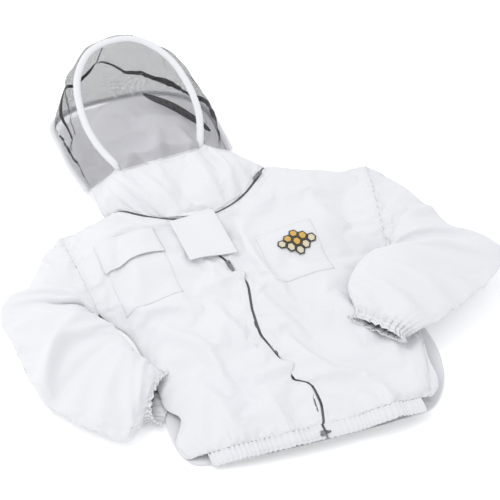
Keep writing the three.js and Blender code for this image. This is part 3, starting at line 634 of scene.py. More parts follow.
# ---- Hem casings ----------------------------------------------------------------------------
# A 28 mm band folded over elastic along the bottom of each front; the elastic draws it into
# close ruffles that run a little way up the front.
for side, title in ((-1, "right"), (1, "left")):
    rows, columns = 12, 260
    end = zip_line(-0.5) + side * zip_edge
    x = np.linspace(hem_corner[side], end, columns)[None, :] + np.zeros((rows, 1))
    v = np.linspace(0, 1, rows)[:, None]
    y = hem_line(x) + (hem_casing + 0.0005) * v
    top = fronts[side][0]
    order = np.argsort(top[:, 0])
    seam = np.interp(x[0], top[order, 0], top[order, 2])[None, :]
    belly = 0.004 * np.sin(np.pi * v)
    drop = (1 - v) * (0.004 + 0.2 * seam)
    ruffle = 0.0009 * gather(x, 40 + side) * (0.6 - 0.4 * np.cos(np.pi * (2 * v - 1)))
    z = np.maximum(seam - drop + belly * 0.5 + ruffle * (1 - 0.35 * v), 0.0040)
    y = y - 0.0010 * gather(x + 0.003, 70 + side) * (1 - v)
    grid = np.stack([x, y, z], -1)
    made = piece(f"{title}_hem", grid, white_cloth, sewn="bt", flip=side > 0)
    declare(grid)
    thicken(made)
    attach(made, "jacket")
    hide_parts(f"hem_casing_{title}", f"hem_elastic_{title}")


# ---- Sleeves --------------------------------------------------------------------------------
# Each sleeve is one wide tube with a single seam. Its head is sewn to the armhole; below the
# bent elbow the cloth bunches into folds that fan out from the inside of the bend.
# All in millimetres along the sleeve: the outer edge from the shoulder (the right one's with
# its share of the length first), the inner edge from the armpit, and the height.
sleeve_outer = {
    -1: [(0, 0, 0), (0.08, -38, -28), (0.143, -66, -68), (0.23, -108, -118),
         (0.30, -156, -126), (0.38, -178, -178), (0.45, -172, -241), (0.55, -170, -320),
         (0.63, -163, -395), (0.74, -117, -474), (0.87, -52, -545), (1.0, -4, -512)],
    1: [(0, 0), (30, -63), (54, -150), (80, -242), (126, -344), (94, -402), (20, -446),
        (-72, -476), (-152, -488)],
}
sleeve_inner = {
    -1: [(0, 0), (-10, -4), (-7, -16), (7, -40), (20, -84), (35, -130), (48, -164), (58, -184)],
    1: [(0, 0), (-3, -6), (-8, -12), (-18, -18), (-38, -26), (-66, -36), (-100, -56),
        (-132, -92), (-146, -148)],
}
sleeve_height = {-1: [38, 42, 44, 46, 46, 44, 38, 32], 1: [40, 44, 48, 50, 50, 48, 46, 42, 34]}
fore_lift = {-1: 0.0, 1: 0.034}     # how high the forearm lies on the jacket
# Folds: where each starts and ends along the sleeve, its middle across it, its height and its
# half width.
sleeve_folds = {
    -1: [(0.30, 0.62, 0.75, 0.016, 0.030), (0.40, 0.60, 0.95, 0.014, 0.026),
         (0.46, 0.55, 0.42, 0.010, 0.030), (0.58, 0.66, 0.80, -0.010, 0.024),
         (0.66, 0.80, 0.72, 0.012, 0.030), (0.74, 0.90, 0.90, 0.010, 0.024),
         (0.80, 0.94, 0.45, 0.010, 0.026), (0.10, 0.26, 0.60, 0.010, 0.030),
         (0.17, 0.30, 0.10, 0.016, 0.016), (0.21, 0.34, 0.12, -0.014, 0.012)],
    1: [(0.14, 0.34, 0.30, 0.012, 0.028), (0.30, 0.46, 0.75, 0.013, 0.026),
        (0.42, 0.56, 0.95, 0.015, 0.028), (0.50, 0.60, 0.60, 0.012, 0.024),
        (0.58, 0.72, 0.85, -0.010, 0.024), (0.68, 0.84, 0.75, 0.012, 0.028),
        (0.80, 0.94, 0.60, 0.010, 0.026), (0.24, 0.30, 0.90, 0.010, 0.024)],
}


def outer_line(side, v):
    """The outer edge at shares v of the sleeve's length: a spline through the left one's
    knots. The right elbow is sharper: straight lines, rounded by a mean over nine points."""
    if side > 0:
        return spline(np.array(sleeve_outer[1]) / 1000 + shoulder[1], v)
    stops, x, y = np.array(sleeve_outer[-1]).T
    line = np.stack([np.interp(v, stops, x), np.interp(v, stops, y)], 1) / 1000
    line = np.stack([np.convolve(np.pad(line[:, k], 4, "edge"), np.ones(9) / 9, "valid")
                     for k in (0, 1)], 1)
    return line - line[0] * np.clip(1 - v / 0.05, 0, 1)[:, None] + shoulder[-1]


def from_core(grid):
    """Unit directions out from each row's middle."""
    spread = grid - grid.mean(1, keepdims=True)
    return spread / np.maximum(np.linalg.norm(spread, axis=-1, keepdims=True), 1e-6)


rows, around = 150, 108
v = np.linspace(0, 1, rows)
angle = np.linspace(0, 2 * np.pi, around, endpoint=False)
c = np.sign(np.cos(angle)) * np.abs(np.cos(angle)) ** 0.85
sleeve_ends = {}
for side, title in ((-1, "right"), (1, "left")):
    edge_a = outer_line(side, v)
    edge_b = spline(np.array(sleeve_inner[side]) / 1000 + armpit[side], v)
    height = spline(np.array(sleeve_height[side])[:, None] / 1000, v)[:, 0]
    rest = fore_lift[side] * smooth((v - 0.38) / 0.22)
    middle, half = (edge_a + edge_b) / 2, (edge_a - edge_b) / 2
    x = middle[:, :1] + half[:, :1] * c
    y = middle[:, 1:] + half[:, 1:] * c
    flat = smooth(v / 0.30)[:, None]
    s = np.sign(np.sin(angle)) * np.abs(np.sin(angle)) ** 0.80
    s = s * flat + np.sin(angle) * (1 - flat)
    z = (rest + height / 2)[:, None] + height[:, None] / 2 * s
    up = np.clip(np.sin(angle), 0, 1)[None, :] ** 0.5
    share = (c[None, :] + 1) / 2 + 0 * x
    row = v[:, None] + 0 * x
    hold = smooth(v / 0.08) * smooth((1 - v) / 0.05)
    for start, end, across, tall, width in sleeve_folds[side]:
        line = start + (end - start) * np.clip((share - 0.02) / 0.9, 0, 1)
        bell = np.exp(-(((row - line) / width) ** 2)) * np.exp(-(((share - across) / 0.42) ** 2))
        z += tall * bell * up * hold[:, None]
    z += 0.0022 * ripple(50 + side, 16, x, y, low=5, high=15) * up * hold[:, None]
    grid = np.stack([x, y, z], -1)
    grid[0, :, 2] = np.where(np.sin(angle) > 0, sleeve_top(side, x[0], y[0]), 0.0018)
    tucked = np.clip(np.sin(angle) * 3, 0, 1)[:, None]
    along = (shoulder[side] - armpit[side]) / np.linalg.norm(shoulder[side] - armpit[side])
    out = side * np.array([along[1], -along[0]])
    grid[0, :, :2] -= 0.004 * out * tucked
    grid[0, :, 2] -= 0.0016 * tucked[:, 0]
    made = piece(f"{title}_sleeve_cloth", grid, white_cloth, ring=True, sewn="bt",
                 flip=side < 0)
    under = np.round(np.clip(-np.sin(angle) * 2.0, 0, 1), 1)[None, :]
    settle(made, np.maximum(edge_hold(rows, around, "bt"), under), slack=0.045, frames=24,
           stiff=4.0, most=0.016)
    grid = points_of(made).reshape(rows, around, 3)
    turn = angle[None, :] * 25 + 0.8 * ripple(80 + side, 5, angle[None, :] / 6.3, 0 * x[:1])
    pinch = np.exp(-(1 - v) / 0.05)[:, None]
    grid = grid + from_core(grid) * (0.0030 * np.sin(turn) * pinch)[..., None]
    grid[..., 2] = np.maximum(grid[..., 2], 0.0018)
    place_points(made, grid)
    sleeve_ends[side] = grid[-1], middle[-1], turn
    declare(grid)
    thicken(made)
    start = (shoulder[side] + armpit[side]) / 2 + out * 0.004
    finish = start + out * 0.160
    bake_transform(made)
    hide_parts(f"{title}_sleeve")


# ---- Cuffs ----------------------------------------------------------------------------------
# A 20 mm casing at the end of each sleeve, drawn by its elastic into tight ruffles. The right
# one gapes, and the left one lies nearly shut.
cuff_mouth = {-1: ((16, -522), (76, -196)), 1: ((-168, -498), (-160, -159))}
drawn_back, squashed = {-1: 0.024, 1: 0.007}, {-1: 0.20, 1: 0.70}
w = np.linspace(0, 1, 14)[:, None]
for side, title in ((-1, "right"), (1, "left")):
    end_ring, end_middle, turn = sleeve_ends[side]
    mouth = np.array(cuff_mouth[side]) / 1000
    end_a, end_b = mouth[0] + shoulder[side], mouth[1] + armpit[side]
    shift = ((end_a + end_b) / 2 - end_middle) * 1.25
    ring = end_ring[None]
    core = ring.mean(1, keepdims=True)
    narrow = 1 - 0.10 * np.sin(np.pi * w) + 0.05 * w
    shape = core + (ring - core) * narrow[..., None]
    shape[..., :2] += shift * w[..., None]
    back = drawn_back[side] * np.clip(np.sin(angle), -0.25, 1)[None, :] * w
    shape[..., :2] -= back[..., None] * shift / np.linalg.norm(shift)
    shape[..., 2] = core[..., 2] + (shape[..., 2] - core[..., 2]) * (1 - squashed[side] * w)
    tight = 0.0016 + 0.0010 * np.cos(2 * np.pi * w)
    ruffle = tight * np.sin(turn) * (0.2 + 0.8 * smooth(w / 0.2))
    shape = shape + from_core(shape) * ruffle[..., None]
    shape[..., 2] = np.maximum(shape[..., 2], 0.0020)
    made = piece(f"{title}_cuff", shape, white_cloth, ring=True, sewn="bt", flip=side < 0,
                 body=f"{title}_arm")
    declare(shape)
    thicken(made, 0.0012)
    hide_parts(f"{title}_cuff_casing", f"{title}_cuff_elastic")


# ---- Zip materials --------------------------------------------------------------------------
# Woven polyester tape in dark grey with a herringbone weave, and a nylon coil of small teeth.
# The sliders, their pulls and the box at the foot are cast metal.
def tape_material():
    """Woven tape: a zigzag rib, the sine of a folded sine, under a fine fuzz."""
    material, shader, place = start_material("zip_tape")
    across, along, _, _ = cloth_maps(shader)
    rib = (across.wave(0.0016).maths("ABSOLUTE") + along * 300.0).wave(1.0)
    relief(shader, rib * 0.00005)
    fuzz = place.node("TexNoise", {"Vector": place, "Scale": 260.0, "Detail": 2.0})
    shade = fuzz.mixed((0.14, 0.145, 0.152), (0.21, 0.215, 0.225))
    shader.id_data.links.new(shade.socket, shader.inputs["Base Color"])
    shader.inputs["Roughness"].default_value = 0.85
    return material


def plain_material(name, dark, light, roughness, metallic=0.0, scale=90.0):
    """One finish with a faint mottle and handling marks in its gloss."""
    material, shader, place = start_material(name)
    mottle = place.node("TexNoise", {"Vector": place, "Scale": scale, "Detail": 4.0})
    tree = shader.id_data
    tree.links.new(mottle.mixed(dark, light).socket, shader.inputs["Base Color"])
    gloss = mottle * 0.25 + (roughness - 0.12)
    tree.links.new(gloss.socket, shader.inputs["Roughness"])
    shader.inputs["Metallic"].default_value = metallic
    relief(shader, mottle * 0.00004)
    return material


zip_tape = tape_material()
zip_nylon = plain_material("zip_nylon", (0.085, 0.088, 0.093), (0.13, 0.133, 0.14), 0.45)
zip_metal = plain_material("zip_metal", (0.20, 0.205, 0.215), (0.32, 0.325, 0.34), 0.32, 1.0)
for node in ("zip_retaining_box", "front_zip_slider", "front_zip_pull", "neck_zip_slider",
             "neck_zip_pull"):
    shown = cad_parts[node]
    shown.data.materials.clear()
    shown.data.materials.append(zip_metal)


def teeth(name, line, side, pitch=0.0024):
    """A chain of small beads along the line, each a squashed eight-sided nib leaning across
    the zip's middle, alternating with the other side's."""
    at = lengths(line)
    count = int(at[-1] / pitch)
    where = (np.arange(count) + (0.25 if side > 0 else 0.75)) * pitch
    centre = np.stack([np.interp(where, at, line[:, k]) for k in range(3)], 1)
    ahead = np.gradient(centre, axis=0)
    ahead /= np.linalg.norm(ahead, axis=1, keepdims=True)
    over = np.cross(ahead, (0, 0, 1.0))
    over /= np.linalg.norm(over, axis=1, keepdims=True)
    rise = np.cross(over, ahead)
    nib = np.array([(a, b, c) for c in (-1, 1) for a, b in
                    ((-1, -0.6), (-0.6, -1), (0.6, -1), (1, -0.6), (1, 0.6), (0.6, 1),
                     (-0.6, 1), (-1, 0.6))]) * (0.0013, 0.00085, 0.0008)
    points = (centre[:, None] + over[:, None] * (nib[None, :, :1] + side * 0.0005)
              + ahead[:, None] * nib[None, :, 1:2] + rise[:, None] * nib[None, :, 2:])
    ring = [(k, (k + 1) % 8, (k + 1) % 8 + 8, k + 8) for k in range(8)]
    faces = [tuple(i + 16 * n for i in face) for n in range(count)
             for face in (*ring, tuple(range(7, -1, -1)), tuple(range(8, 16)))]
    mesh = bpy.data.meshes.new(name)
    mesh.from_pydata(points.reshape(-1, 3), [], faces)
    mesh.materials.append(zip_nylon)
    made = bpy.data.objects.new(name, mesh)
    scene.collection.objects.link(made)
    return made


def ribbon(line, across, width, low=0.0):
    """A strip of cloth beside a line: rows along it, columns from 'low' to 'low + width'."""
    t = np.linspace(0, 1, 5)[None, :, None]
    return line[:, None] + across[:, None] * (low + width * t)


# ---- Front zip ------------------------------------------------------------------------------
# A separating coil zip with its two tapes sewn behind the edges of the fronts; the tapes show
# as a grey line about 5 mm wide.
y = np.linspace(-0.508, 0.064, 420)
front_line = np.stack([zip_line(y), y, np.zeros_like(y)], 1)
front_line[:, 2] = chest(front_line[:, 0], y) + 0.0037
for side, title in ((-1, "right"), (1, "left")):
    across = np.zeros_like(front_line) + (side, 0, 0)
    tape = ribbon(front_line - (0, 0, 0.0016), across, 0.0105, 0.0003)
    made = piece(f"{title}_zip_tape", tape, zip_tape, sewn="r", flip=side < 0, body="jacket")
    declare(tape)
    thicken(made, 0.0008)
    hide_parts(f"front_zip_tape_{title}")
    made = teeth(f"{title}_zip_coil", front_line, side)
    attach(made, "jacket")
    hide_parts(f"front_zip_coil_{title}")


# ---- Chest pockets --------------------------------------------------------------------------
# Two patch pockets topstitched to the fronts. The right one has a flap with square corners
# that touch-tape holds shut.
def four_corners(corners, rows, columns):
    """Plan places over four corners joined by straight lines, and their shares s and t."""
    a, b, c, d = (np.array(corner) for corner in corners)
    s, t = np.meshgrid(np.linspace(0, 1, columns), np.linspace(0, 1, rows))
    right, up = s[..., None], t[..., None]
    return (a * (1 - right) + b * right) * (1 - up) + (d * (1 - right) + c * right) * up, s, t


def patch(corners, lift, side, rows=36, columns=36, sag=0.0, seed=1, curl=0.0):
    """A patch over the settled front that stands off it a little away from its edges; its
    foot bows up by 'sag' and stands up by 'curl'."""
    plan, s, t = four_corners(corners, rows, columns)
    plan[..., 1] -= sag * np.sin(np.pi * s) * (1 - t)
    grid = on_front(side, plan[..., 0], plan[..., 1], lift)
    loose = np.sin(np.pi * s) * np.sin(np.pi * np.minimum(t, 0.9))
    grid[..., 2] += 0.0010 * loose * ripple(seed, 8, s, t, low=1, high=3)
    grid[..., 2] += curl * (1 - t) ** 3 * np.sin(np.pi * (0.1 + 0.8 * s))
    return grid


def sew_on(name, grid, body, rests_on, thickness, *nodes):
    """A patch of white cloth topstitched on all four edges, standing for these nodes."""
    made = piece(name, grid, white_cloth, sewn="blrt", body=body)
    declare(grid)
    thicken(made, thickness)
    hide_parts(*nodes)


pocket = patch([(-0.245, -0.092), (-0.124, -0.092), (-0.124, 0.080), (-0.245, 0.080)], 0.0008,
               -1, seed=5)
sew_on("right_pocket", pocket, "jacket", "right_front", 0.0007, "chest_pocket_right",
       "pocket_hook_tape")
flap = patch([(-0.252, 0.010), (-0.121, 0.014), (-0.121, 0.087), (-0.250, 0.087)], 0.0042, -1,
             sag=-0.006, seed=6, curl=0.0025)
sew_on("pocket_flap", flap, "pocket_flap", "right_pocket", 0.0014, "pocket_flap_right")
pocket = patch([(0.054, -0.148), (0.180, -0.152), (0.186, -0.018), (0.060, -0.022)], 0.0008, 1,
               seed=7)
sew_on("left_pocket", pocket, "jacket", "left_front", 0.0007, "chest_pocket_left")


# ---- Honeycomb badge ------------------------------------------------------------------------
# Nine embroidered cells in amber and cream thread with a dark border to each, worked straight
# onto the left pocket.
def thread_material(name, dark, light):
    """Satin stitch: close parallel threads, coloured lighter on each crown and darker between
    them: painted highlight and painted shade.
    """
    material, shader, place = start_material(name)
    x, y = (place.node("SeparateXYZ", {0: place}, out=k) for k in (0, 1))
    strand = (x * 0.8 + y * 0.6).wave(0.0009)
    relief(shader, strand * 0.00012)
    # The colour follows the strands' relief: painted highlight on the crowns, painted shade in
    # the grooves.
    shade = (strand * 0.35 + 0.5).mixed(dark, light)
    shader.id_data.links.new(shade.socket, shader.inputs["Base Color"])
    shader.inputs["Roughness"].default_value = 0.42
    shader.inputs["Sheen Weight"].default_value = 0.3
    return material


amber = thread_material("amber_thread", (0.62, 0.33, 0.03), (0.90, 0.58, 0.12))
umber = thread_material("umber_thread", (0.012, 0.010, 0.009), (0.05, 0.04, 0.03))
cream = thread_material("cream_thread", (0.70, 0.62, 0.42), (0.88, 0.80, 0.60))


badge_middle = np.array((0.136, -0.065, 0.0))
cell_step, cell_rise = 0.0165, 0.00935      # from one column to the next, and half a cell up


def cells(name, material, radius, hole, rise, picks):
    """Hexagonal cells on the pocket; each is a ring from 'hole' to 'radius', domed by 'rise'
    times one less the fourth power of the share of the way out."""
    centres = np.array([(cell_step * column, cell_rise * up, 0) for column, ups in
                        ((-2, (0,)), (-1, (-1, 1)), (0, (-2, 0, 2)), (1, (-1, 1)), (2, (0,)))
                        for up in ups])[list(picks)]
    share = np.array([1.0, 0.85, 0.0])[:, None]
    size = hole + (radius - hole) * share
    turn = np.arange(6) * np.pi / 3
    cell = np.stack([size * np.cos(turn), size * np.sin(turn), rise * (1 - share**4) + 0 * turn],
                    -1).reshape(-1, 3)
    points = (badge_middle + centres[:, None] + cell).reshape(-1, 3)
    sides = [(k, (k + 1) % 6, (k + 1) % 6 + 6, k + 6) for k in range(6)]
    sides += [tuple(i + 6 for i in side) for side in sides]
    cap = [tuple(range(12, 18))] if hole < 0.001 else []
    faces = [tuple(i + 18 * n for i in face) for n in range(len(centres)) for face in sides + cap]
    lifted = on_front(1, points[:, 0], points[:, 1], 0.0030)
    lifted[:, 2] += points[:, 2]
    mesh = bpy.data.meshes.new(name)
    mesh.from_pydata(lifted, [], faces)
    mesh.materials.append(material)
    made = bpy.data.objects.new(name, mesh)
    scene.collection.objects.link(made)
    thicken(made, 0.0009)
    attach(made, "jacket")
    return made


border = cells("badge_borders", umber, 0.0107, 0.0078, 0.0006, range(9))
cells("badge_cells", amber, 0.0078, 0.0001, 0.0008, (2, 4, 5, 7))
cells("badge_pale_cells", cream, 0.0078, 0.0001, 0.0008, (0, 1, 3, 6, 8))
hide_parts("badge_patch")


# ---- Neck zip -------------------------------------------------------------------------------
# The zip that joins hood to jacket runs round the neck ring: one tape and coil on the jacket,
# the other on the hood, with a cloth edge close beside it on each side.
u = np.linspace(-0.93, 0.93, 300)
ring = neck_ring(u)
neck_line = np.stack([ring[:, 0], ring[:, 1], chest(ring[:, 0], ring[:, 1]) + 0.0038], 1)
across = np.gradient(neck_line, axis=0)
across = np.stack([-across[:, 1], across[:, 0], 0 * u], 1)
across /= np.linalg.norm(across, axis=1, keepdims=True)
for side, owner in ((-1, "jacket"), (1, "hood")):
    tape = ribbon(neck_line - (0, 0, 0.0014), across * side, 0.0105, 0.0003)
    made = piece(f"neck_tape_{owner}", tape, zip_tape, sewn="r", flip=side < 0, body=owner)
    declare(tape)
    thicken(made, 0.0008)
    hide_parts(f"neck_zip_tape_{owner}")
    made = teeth(f"neck_coil_{owner}", neck_line, side)
    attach(made, owner)
    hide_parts(f"neck_zip_coil_{owner}")


# ---- Hoops ----------------------------------------------------------------------------------
# Two sprung wires sewn into white binding hold the veil off the face: the front one frames
# the face panel and leans back at 20 degrees. The rear one lies on the table, sprung up a
# little on the wearer's right.
hinge = np.array([-0.045, 0.229, 0.100])
tilt = np.radians(20.0)
face_normal = np.array([0, -np.sin(tilt), np.cos(tilt)])


def on_face(across, up):
    """Points of the face panel's plane: 'across' from the hinge's middle and 'up' the slope."""
    return hinge + np.stack([across, up * np.cos(tilt), up * np.sin(tilt)], -1)


def arch(base, half, length, foot):
    """Knots of an arch: out to its widest point half way up, and in again to the crown."""
    side = np.array([(base, foot), (base * 0.15 + half * 0.85, length * 0.26),
                     (half, length * 0.5), (half * 0.86, length * 0.76),
                     (half * 0.48, length * 0.95)])
    return np.concatenate([side * (-1, 1), [(0, length)], side[::-1]])


def hoop_line(knots, count=240):
    """A spline through the knots, as points evenly apart."""
    return even(spline(knots, np.linspace(0, 1, 600)), count)


front_hoop = hoop_line(on_face(*arch(0.094, 0.122, 0.312, 0.012).T))
rear_half, bound_size = 0.172, 0.0198      # half the rear hoop's width; cloth round a wire
rear_knots = arch(0.97 * rear_half, rear_half, 0.264, 0.0)
rear_knots[1:5, 0] *= (1.03, 1.05, 1.20, 1.30)
rear_rise = np.array([0.0, 0.006, 0.022, 0.030, 0.018, 0.004, 0.0, 0.0, 0.0, 0.0, 0.0])
rear_hoop = hoop_line(np.stack([rear_knots[:, 0] - 0.028, rear_knots[:, 1] + 0.292,
                                rear_rise + 0.0103], 1))


def outwards(line, normal):
    """Unit directions across the hoop, in its plane and out of the arch."""
    run = np.gradient(line, axis=0)
    out = np.cross(normal, run)
    return out / np.linalg.norm(out, axis=1, keepdims=True)


front_out = outwards(front_hoop, face_normal)
rear_out = outwards(rear_hoop, np.array([0, 0, 1.0]))


def channel(name, line, out, normal, body, node, rod_node, seed):
    """The binding: a tube round the wire whose cloth puckers against the stitching, with a
    narrow stitched fin towards the net."""
    angle = np.linspace(0, 2 * np.pi, 28, endpoint=False)[None, :]
    at = lengths(line)[:, None]
    pucker = 0.0004 * np.sin(at * 2 * np.pi / 0.009 + ripple(seed, 3, at, 0 * at) * 2)
    radius = 0.0072 + pucker * (1 + np.cos(angle)) + 0.0010 * np.exp(-((angle - np.pi) / 0.5)**2)
    end = np.minimum(at, at[-1] - at)
    radius = radius * np.sqrt(np.clip(end / 0.005, 0.0004, 1))
    grid = (line[:, None] + out[:, None] * (radius * np.cos(angle))[..., None]
            + normal * (0.68 * radius * np.sin(angle))[..., None])
    made = piece(name, grid, white_cloth, ring=True, body=body)
    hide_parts(node, rod_node)


foot = hinge + np.array([(-0.0915, 0.004, -0.010), (0.0915, 0.004, -0.010)])
bound = np.concatenate([foot[:1], front_hoop[4:-4:8], front_hoop[-5:-4], foot[1:]])
bound = hoop_line(bound, 250)
channel("front_hoop_binding", bound, outwards(bound, face_normal), face_normal, "veil",
        "front_hoop_channel", "front_hoop_rod", 4)
channel("rear_hoop_binding", rear_hoop, rear_out, np.array([0, 0, 1.0]), "hood",
        "rear_hoop_channel", "rear_hoop_rod", 5)


# ---- Veil net -------------------------------------------------------------------------------
# Black knitted polyester net with a hexagonal mesh about 2 mm across. The face panel is
# stretched flat in its hoop; the side net hangs in loose folds between the two hoops.
def net_material(name, open_share):
    """Threads around rounded holes in staggered rows; the holes are see-through."""
    material, shader, _ = start_material(name)
    across, along, _, _ = cloth_maps(shader)
    pitch, squeeze = 0.0021, 0.866      # hexagons stand this much closer in the other way
    a = across / pitch
    b = along / (pitch * squeeze)
    row = b.maths("FLOOR")
    stagger = (row * 0.5).maths("FRACT")
    dx = (a + stagger).maths("FRACT") - 0.5
    dy = (b - row - 0.5) * squeeze
    radius = (dx * dx + dy * dy).maths("SQRT")
    size = float(np.sqrt(open_share * squeeze / np.pi))
    thread = 1.0 - radius.below(size, 0.05)
    shader.id_data.links.new(thread.socket, shader.inputs["Alpha"])
    shader.inputs["Base Color"].default_value = (0.018, 0.018, 0.020, 1)
    shader.inputs["Roughness"].default_value = 0.6
    return material


face_mesh = net_material("face_net", 0.70)
side_mesh = net_material("side_net", 0.60)

rows, columns = 60, 60
half_count = len(front_hoop) // 2
stitched = front_hoop - front_out * 0.0075
left_leg, right_leg = even(stitched[:half_count], rows), even(stitched[::-1][:half_count], rows)
t = np.linspace(0, 1, columns)[None, :, None]
grid = left_leg[:, None] * (1 - t) + right_leg[:, None] * t
foot = on_face(np.linspace(-0.088, 0.088, columns), np.full(columns, 0.004))
low = (1 - np.linspace(0, 1, rows)[:, None, None]) ** 8
grid = grid + (foot[None] - grid[:1]) * low
inside = np.sin(np.pi * np.linspace(0, 1, rows))[:, None] * np.sin(np.pi * t[..., 0])
grid = grid + face_normal * (0.0016 * inside * ripple(9, 6, grid[..., 0], grid[..., 1])
                             )[..., None]
made = piece("face_veil", grid, face_mesh, body="veil")
declare(grid)
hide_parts("face_net")


def side_point(share, v):
    """A quadratic curve at each share of the way round: from outside the front hoop, out past
    a knee, down to the rear hoop."""
    at = np.clip(share, 0, 1) * (len(front_hoop) - 1)
    pick = [np.stack([np.interp(at, np.arange(len(a)), a[:, k]) for k in range(3)], -1)
            for a in (front_hoop, front_out, rear_hoop, rear_out)]
    start = pick[0] + pick[1] * 0.0078
    end = pick[2] - pick[3] * 0.0075 + (0, 0, 0.0030)
    sideways = pick[3] * (1, 1, 0)
    sideways = sideways / np.linalg.norm(sideways, axis=-1, keepdims=True)
    knee = start + sideways * (0.030 * np.sin(np.pi * share) + 0.006)[..., None]
    knee[..., 2] -= 0.12 * (start[..., 2] - end[..., 2])
    v = np.asarray(v)[..., None]
    return start * (1 - v) ** 2 + knee * 2 * v * (1 - v) + end * v**2


rows, columns = 56, 200
share, v = np.meshgrid(np.linspace(0, 1, columns), np.linspace(0, 1, rows))
grid = side_point(share, v)
net_out = np.cross(np.gradient(grid, axis=1), np.gradient(grid, axis=0))
net_out /= np.maximum(np.linalg.norm(net_out, axis=-1, keepdims=True), 1e-9)
bulge = np.sin(np.pi * v) ** 0.8
drape = (0.004 * np.sin(share * 30 + 1.5 * np.sin(share * 9)) * bulge
         + 0.004 * ripple(12, 8, share, v * 0.3, low=3, high=9) * bulge
         - 0.006 * np.exp(-(((v - 0.42 - 0.10 * np.sin(share * 6)) / 0.09) ** 2)) * bulge)
grid = grid + net_out * drape[..., None]
side_veil = piece("side_veil", grid, side_mesh, sewn="bt")
settle(side_veil, edge_hold(rows, columns, "btlr"), slack=0.05, frames=18, stiff=0.6, most=0.012)
grid = points_of(side_veil).reshape(rows, columns, 3)
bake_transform(side_veil)
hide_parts("side_net")

# Where the net is folded double it reads as nearly solid: one long crease over the top that
# runs down both sides, a fold at the right foot, and a swag that has dropped on the lining.
folded_net = net_material("folded_net", 0.22)


def net_strip(name, spots):
    """A folded strip of the side net that swings with it."""
    made = piece(name, spots, folded_net)
    thicken(made, 0.0008)
    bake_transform(made)
    return made


def net_band(name, spans, heights, widths):
    """A strip on the side net from spans[0] to spans[-1] of the way round; its height and
    width pass through the values given."""
    row_step = 0.0035       # between rows of the side net's grid
    share = np.linspace(spans[0], spans[-1], 150)
    v = np.interp(share, spans, heights) + 0.010 * np.sin(share * 60)
    wide = np.interp(share, spans, widths)[:, None]
    across = (v * (rows - 1))[:, None] + wide / row_step * (np.linspace(0, 1, 7) - 0.5)
    across = np.clip(across, 0.5, rows - 1.5)
    low = np.floor(across).astype(int)
    column = share[:, None] * (columns - 1)
    left = np.floor(column).astype(int).clip(0, columns - 2)
    a, b = across - low, column - left
    spots = sum(w[..., None] * grid[low + i, left + j] for w, i, j in (
        ((1 - a) * (1 - b), 0, 0), (a * (1 - b), 1, 0), ((1 - a) * b, 0, 1), (a * b, 1, 1)))
    return net_strip(name, spots + net_out[low, left] * 0.0009)


swag = spline([(0.020, 0.520, 0.036), (0.036, 0.500, 0.034), (0.069, 0.455, 0.032),
               (0.102, 0.382, 0.032), (0.112, 0.340, 0.036)], np.linspace(0, 1, 80))
swag_half = 0.0085 * np.sin(np.pi * np.linspace(0.04, 0.97, 80)) ** 0.8
swag_across = np.array([0.80, 0.42, 0.42]) / np.linalg.norm([0.80, 0.42, 0.42])
swag_grid = swag[:, None] + (swag_half[:, None] * np.linspace(-1, 1, 7))[..., None] * swag_across
bands = [
    net_band("net_crease_right", (0.13, 0.25, 0.32, 0.38, 0.455, 0.48),
             (0.69, 0.70, 0.60, 0.69, 0.55, 0.30), (0.003, 0.011, 0.012, 0.009, 0.009, 0.005)),
    net_band("net_crease_left", (0.462, 0.54, 0.62, 0.70, 0.77, 0.87, 0.96),
             (0.56, 0.77, 0.83, 0.88, 0.86, 0.78, 0.90),
             (0.004, 0.006, 0.009, 0.015, 0.021, 0.026, 0.010)),
    net_band("net_fold_foot", (0.04, 0.10, 0.16, 0.21), (0.80, 0.85, 0.90, 0.94),
             (0.004, 0.020, 0.020, 0.006)),
    net_strip("net_swag", swag_grid),
]
declare(grid)


# ---- Hood cloth -----------------------------------------------------------------------------
# The bib rises from the neck zip to the veil and spreads into a skirt at each side; the back
# of the hood lies on the table inside the veil, seen through the net.
def bib_top(share):
    """The bib's upper edge: down each foot of the side net, and straight along the hinge."""
    edge = 0.26
    seam = np.array([0, -0.0024, 0])
    right = side_point(0 * share, 1 - np.clip(share / edge, 0, 1)) + seam
    left = side_point(0 * share + 1, 1 - np.clip((1 - share) / edge, 0, 1)) + seam
    t = np.clip((share - edge) / (1 - 2 * edge), 0, 1)[..., None]
    start = side_point(0 * share, 0 * share) + seam
    end = side_point(0 * share + 1, 0 * share) + seam
    top = start * (1 - t) + end * t
    line = np.stack([top[..., 0], 0 * share + hinge[1] - 0.0018, 0 * share + hinge[2]], -1)
    middle = top + (line - top) * np.minimum(1, 3 * 4 * t * (1 - t))
    made = np.where((share < edge)[..., None], right, middle)
    return np.where((share > 1 - edge)[..., None], left, made)


rows, columns = 90, 150
share, v = np.meshgrid(np.linspace(0, 1, columns), np.linspace(0, 1, rows))
base = neck_ring(2 * share - 1, zip_edge)
foot = np.concatenate([base, (chest(base[..., 0], base[..., 1]) + 0.0046)[..., None]], -1)
top = bib_top(share)
grid = foot * (1 - v[..., None]) + top * v[..., None]
grid[..., 2] += 0.003 * np.sin(np.pi * v) ** 2 * np.sin(np.pi * share)
away = np.cross(np.gradient(grid, axis=1), np.gradient(grid, axis=0))
away /= np.maximum(np.linalg.norm(away, axis=-1, keepdims=True), 1e-9)
away *= np.sign(away[..., 2:] + 1e-6)
hold = np.sin(np.pi * v) ** 0.7
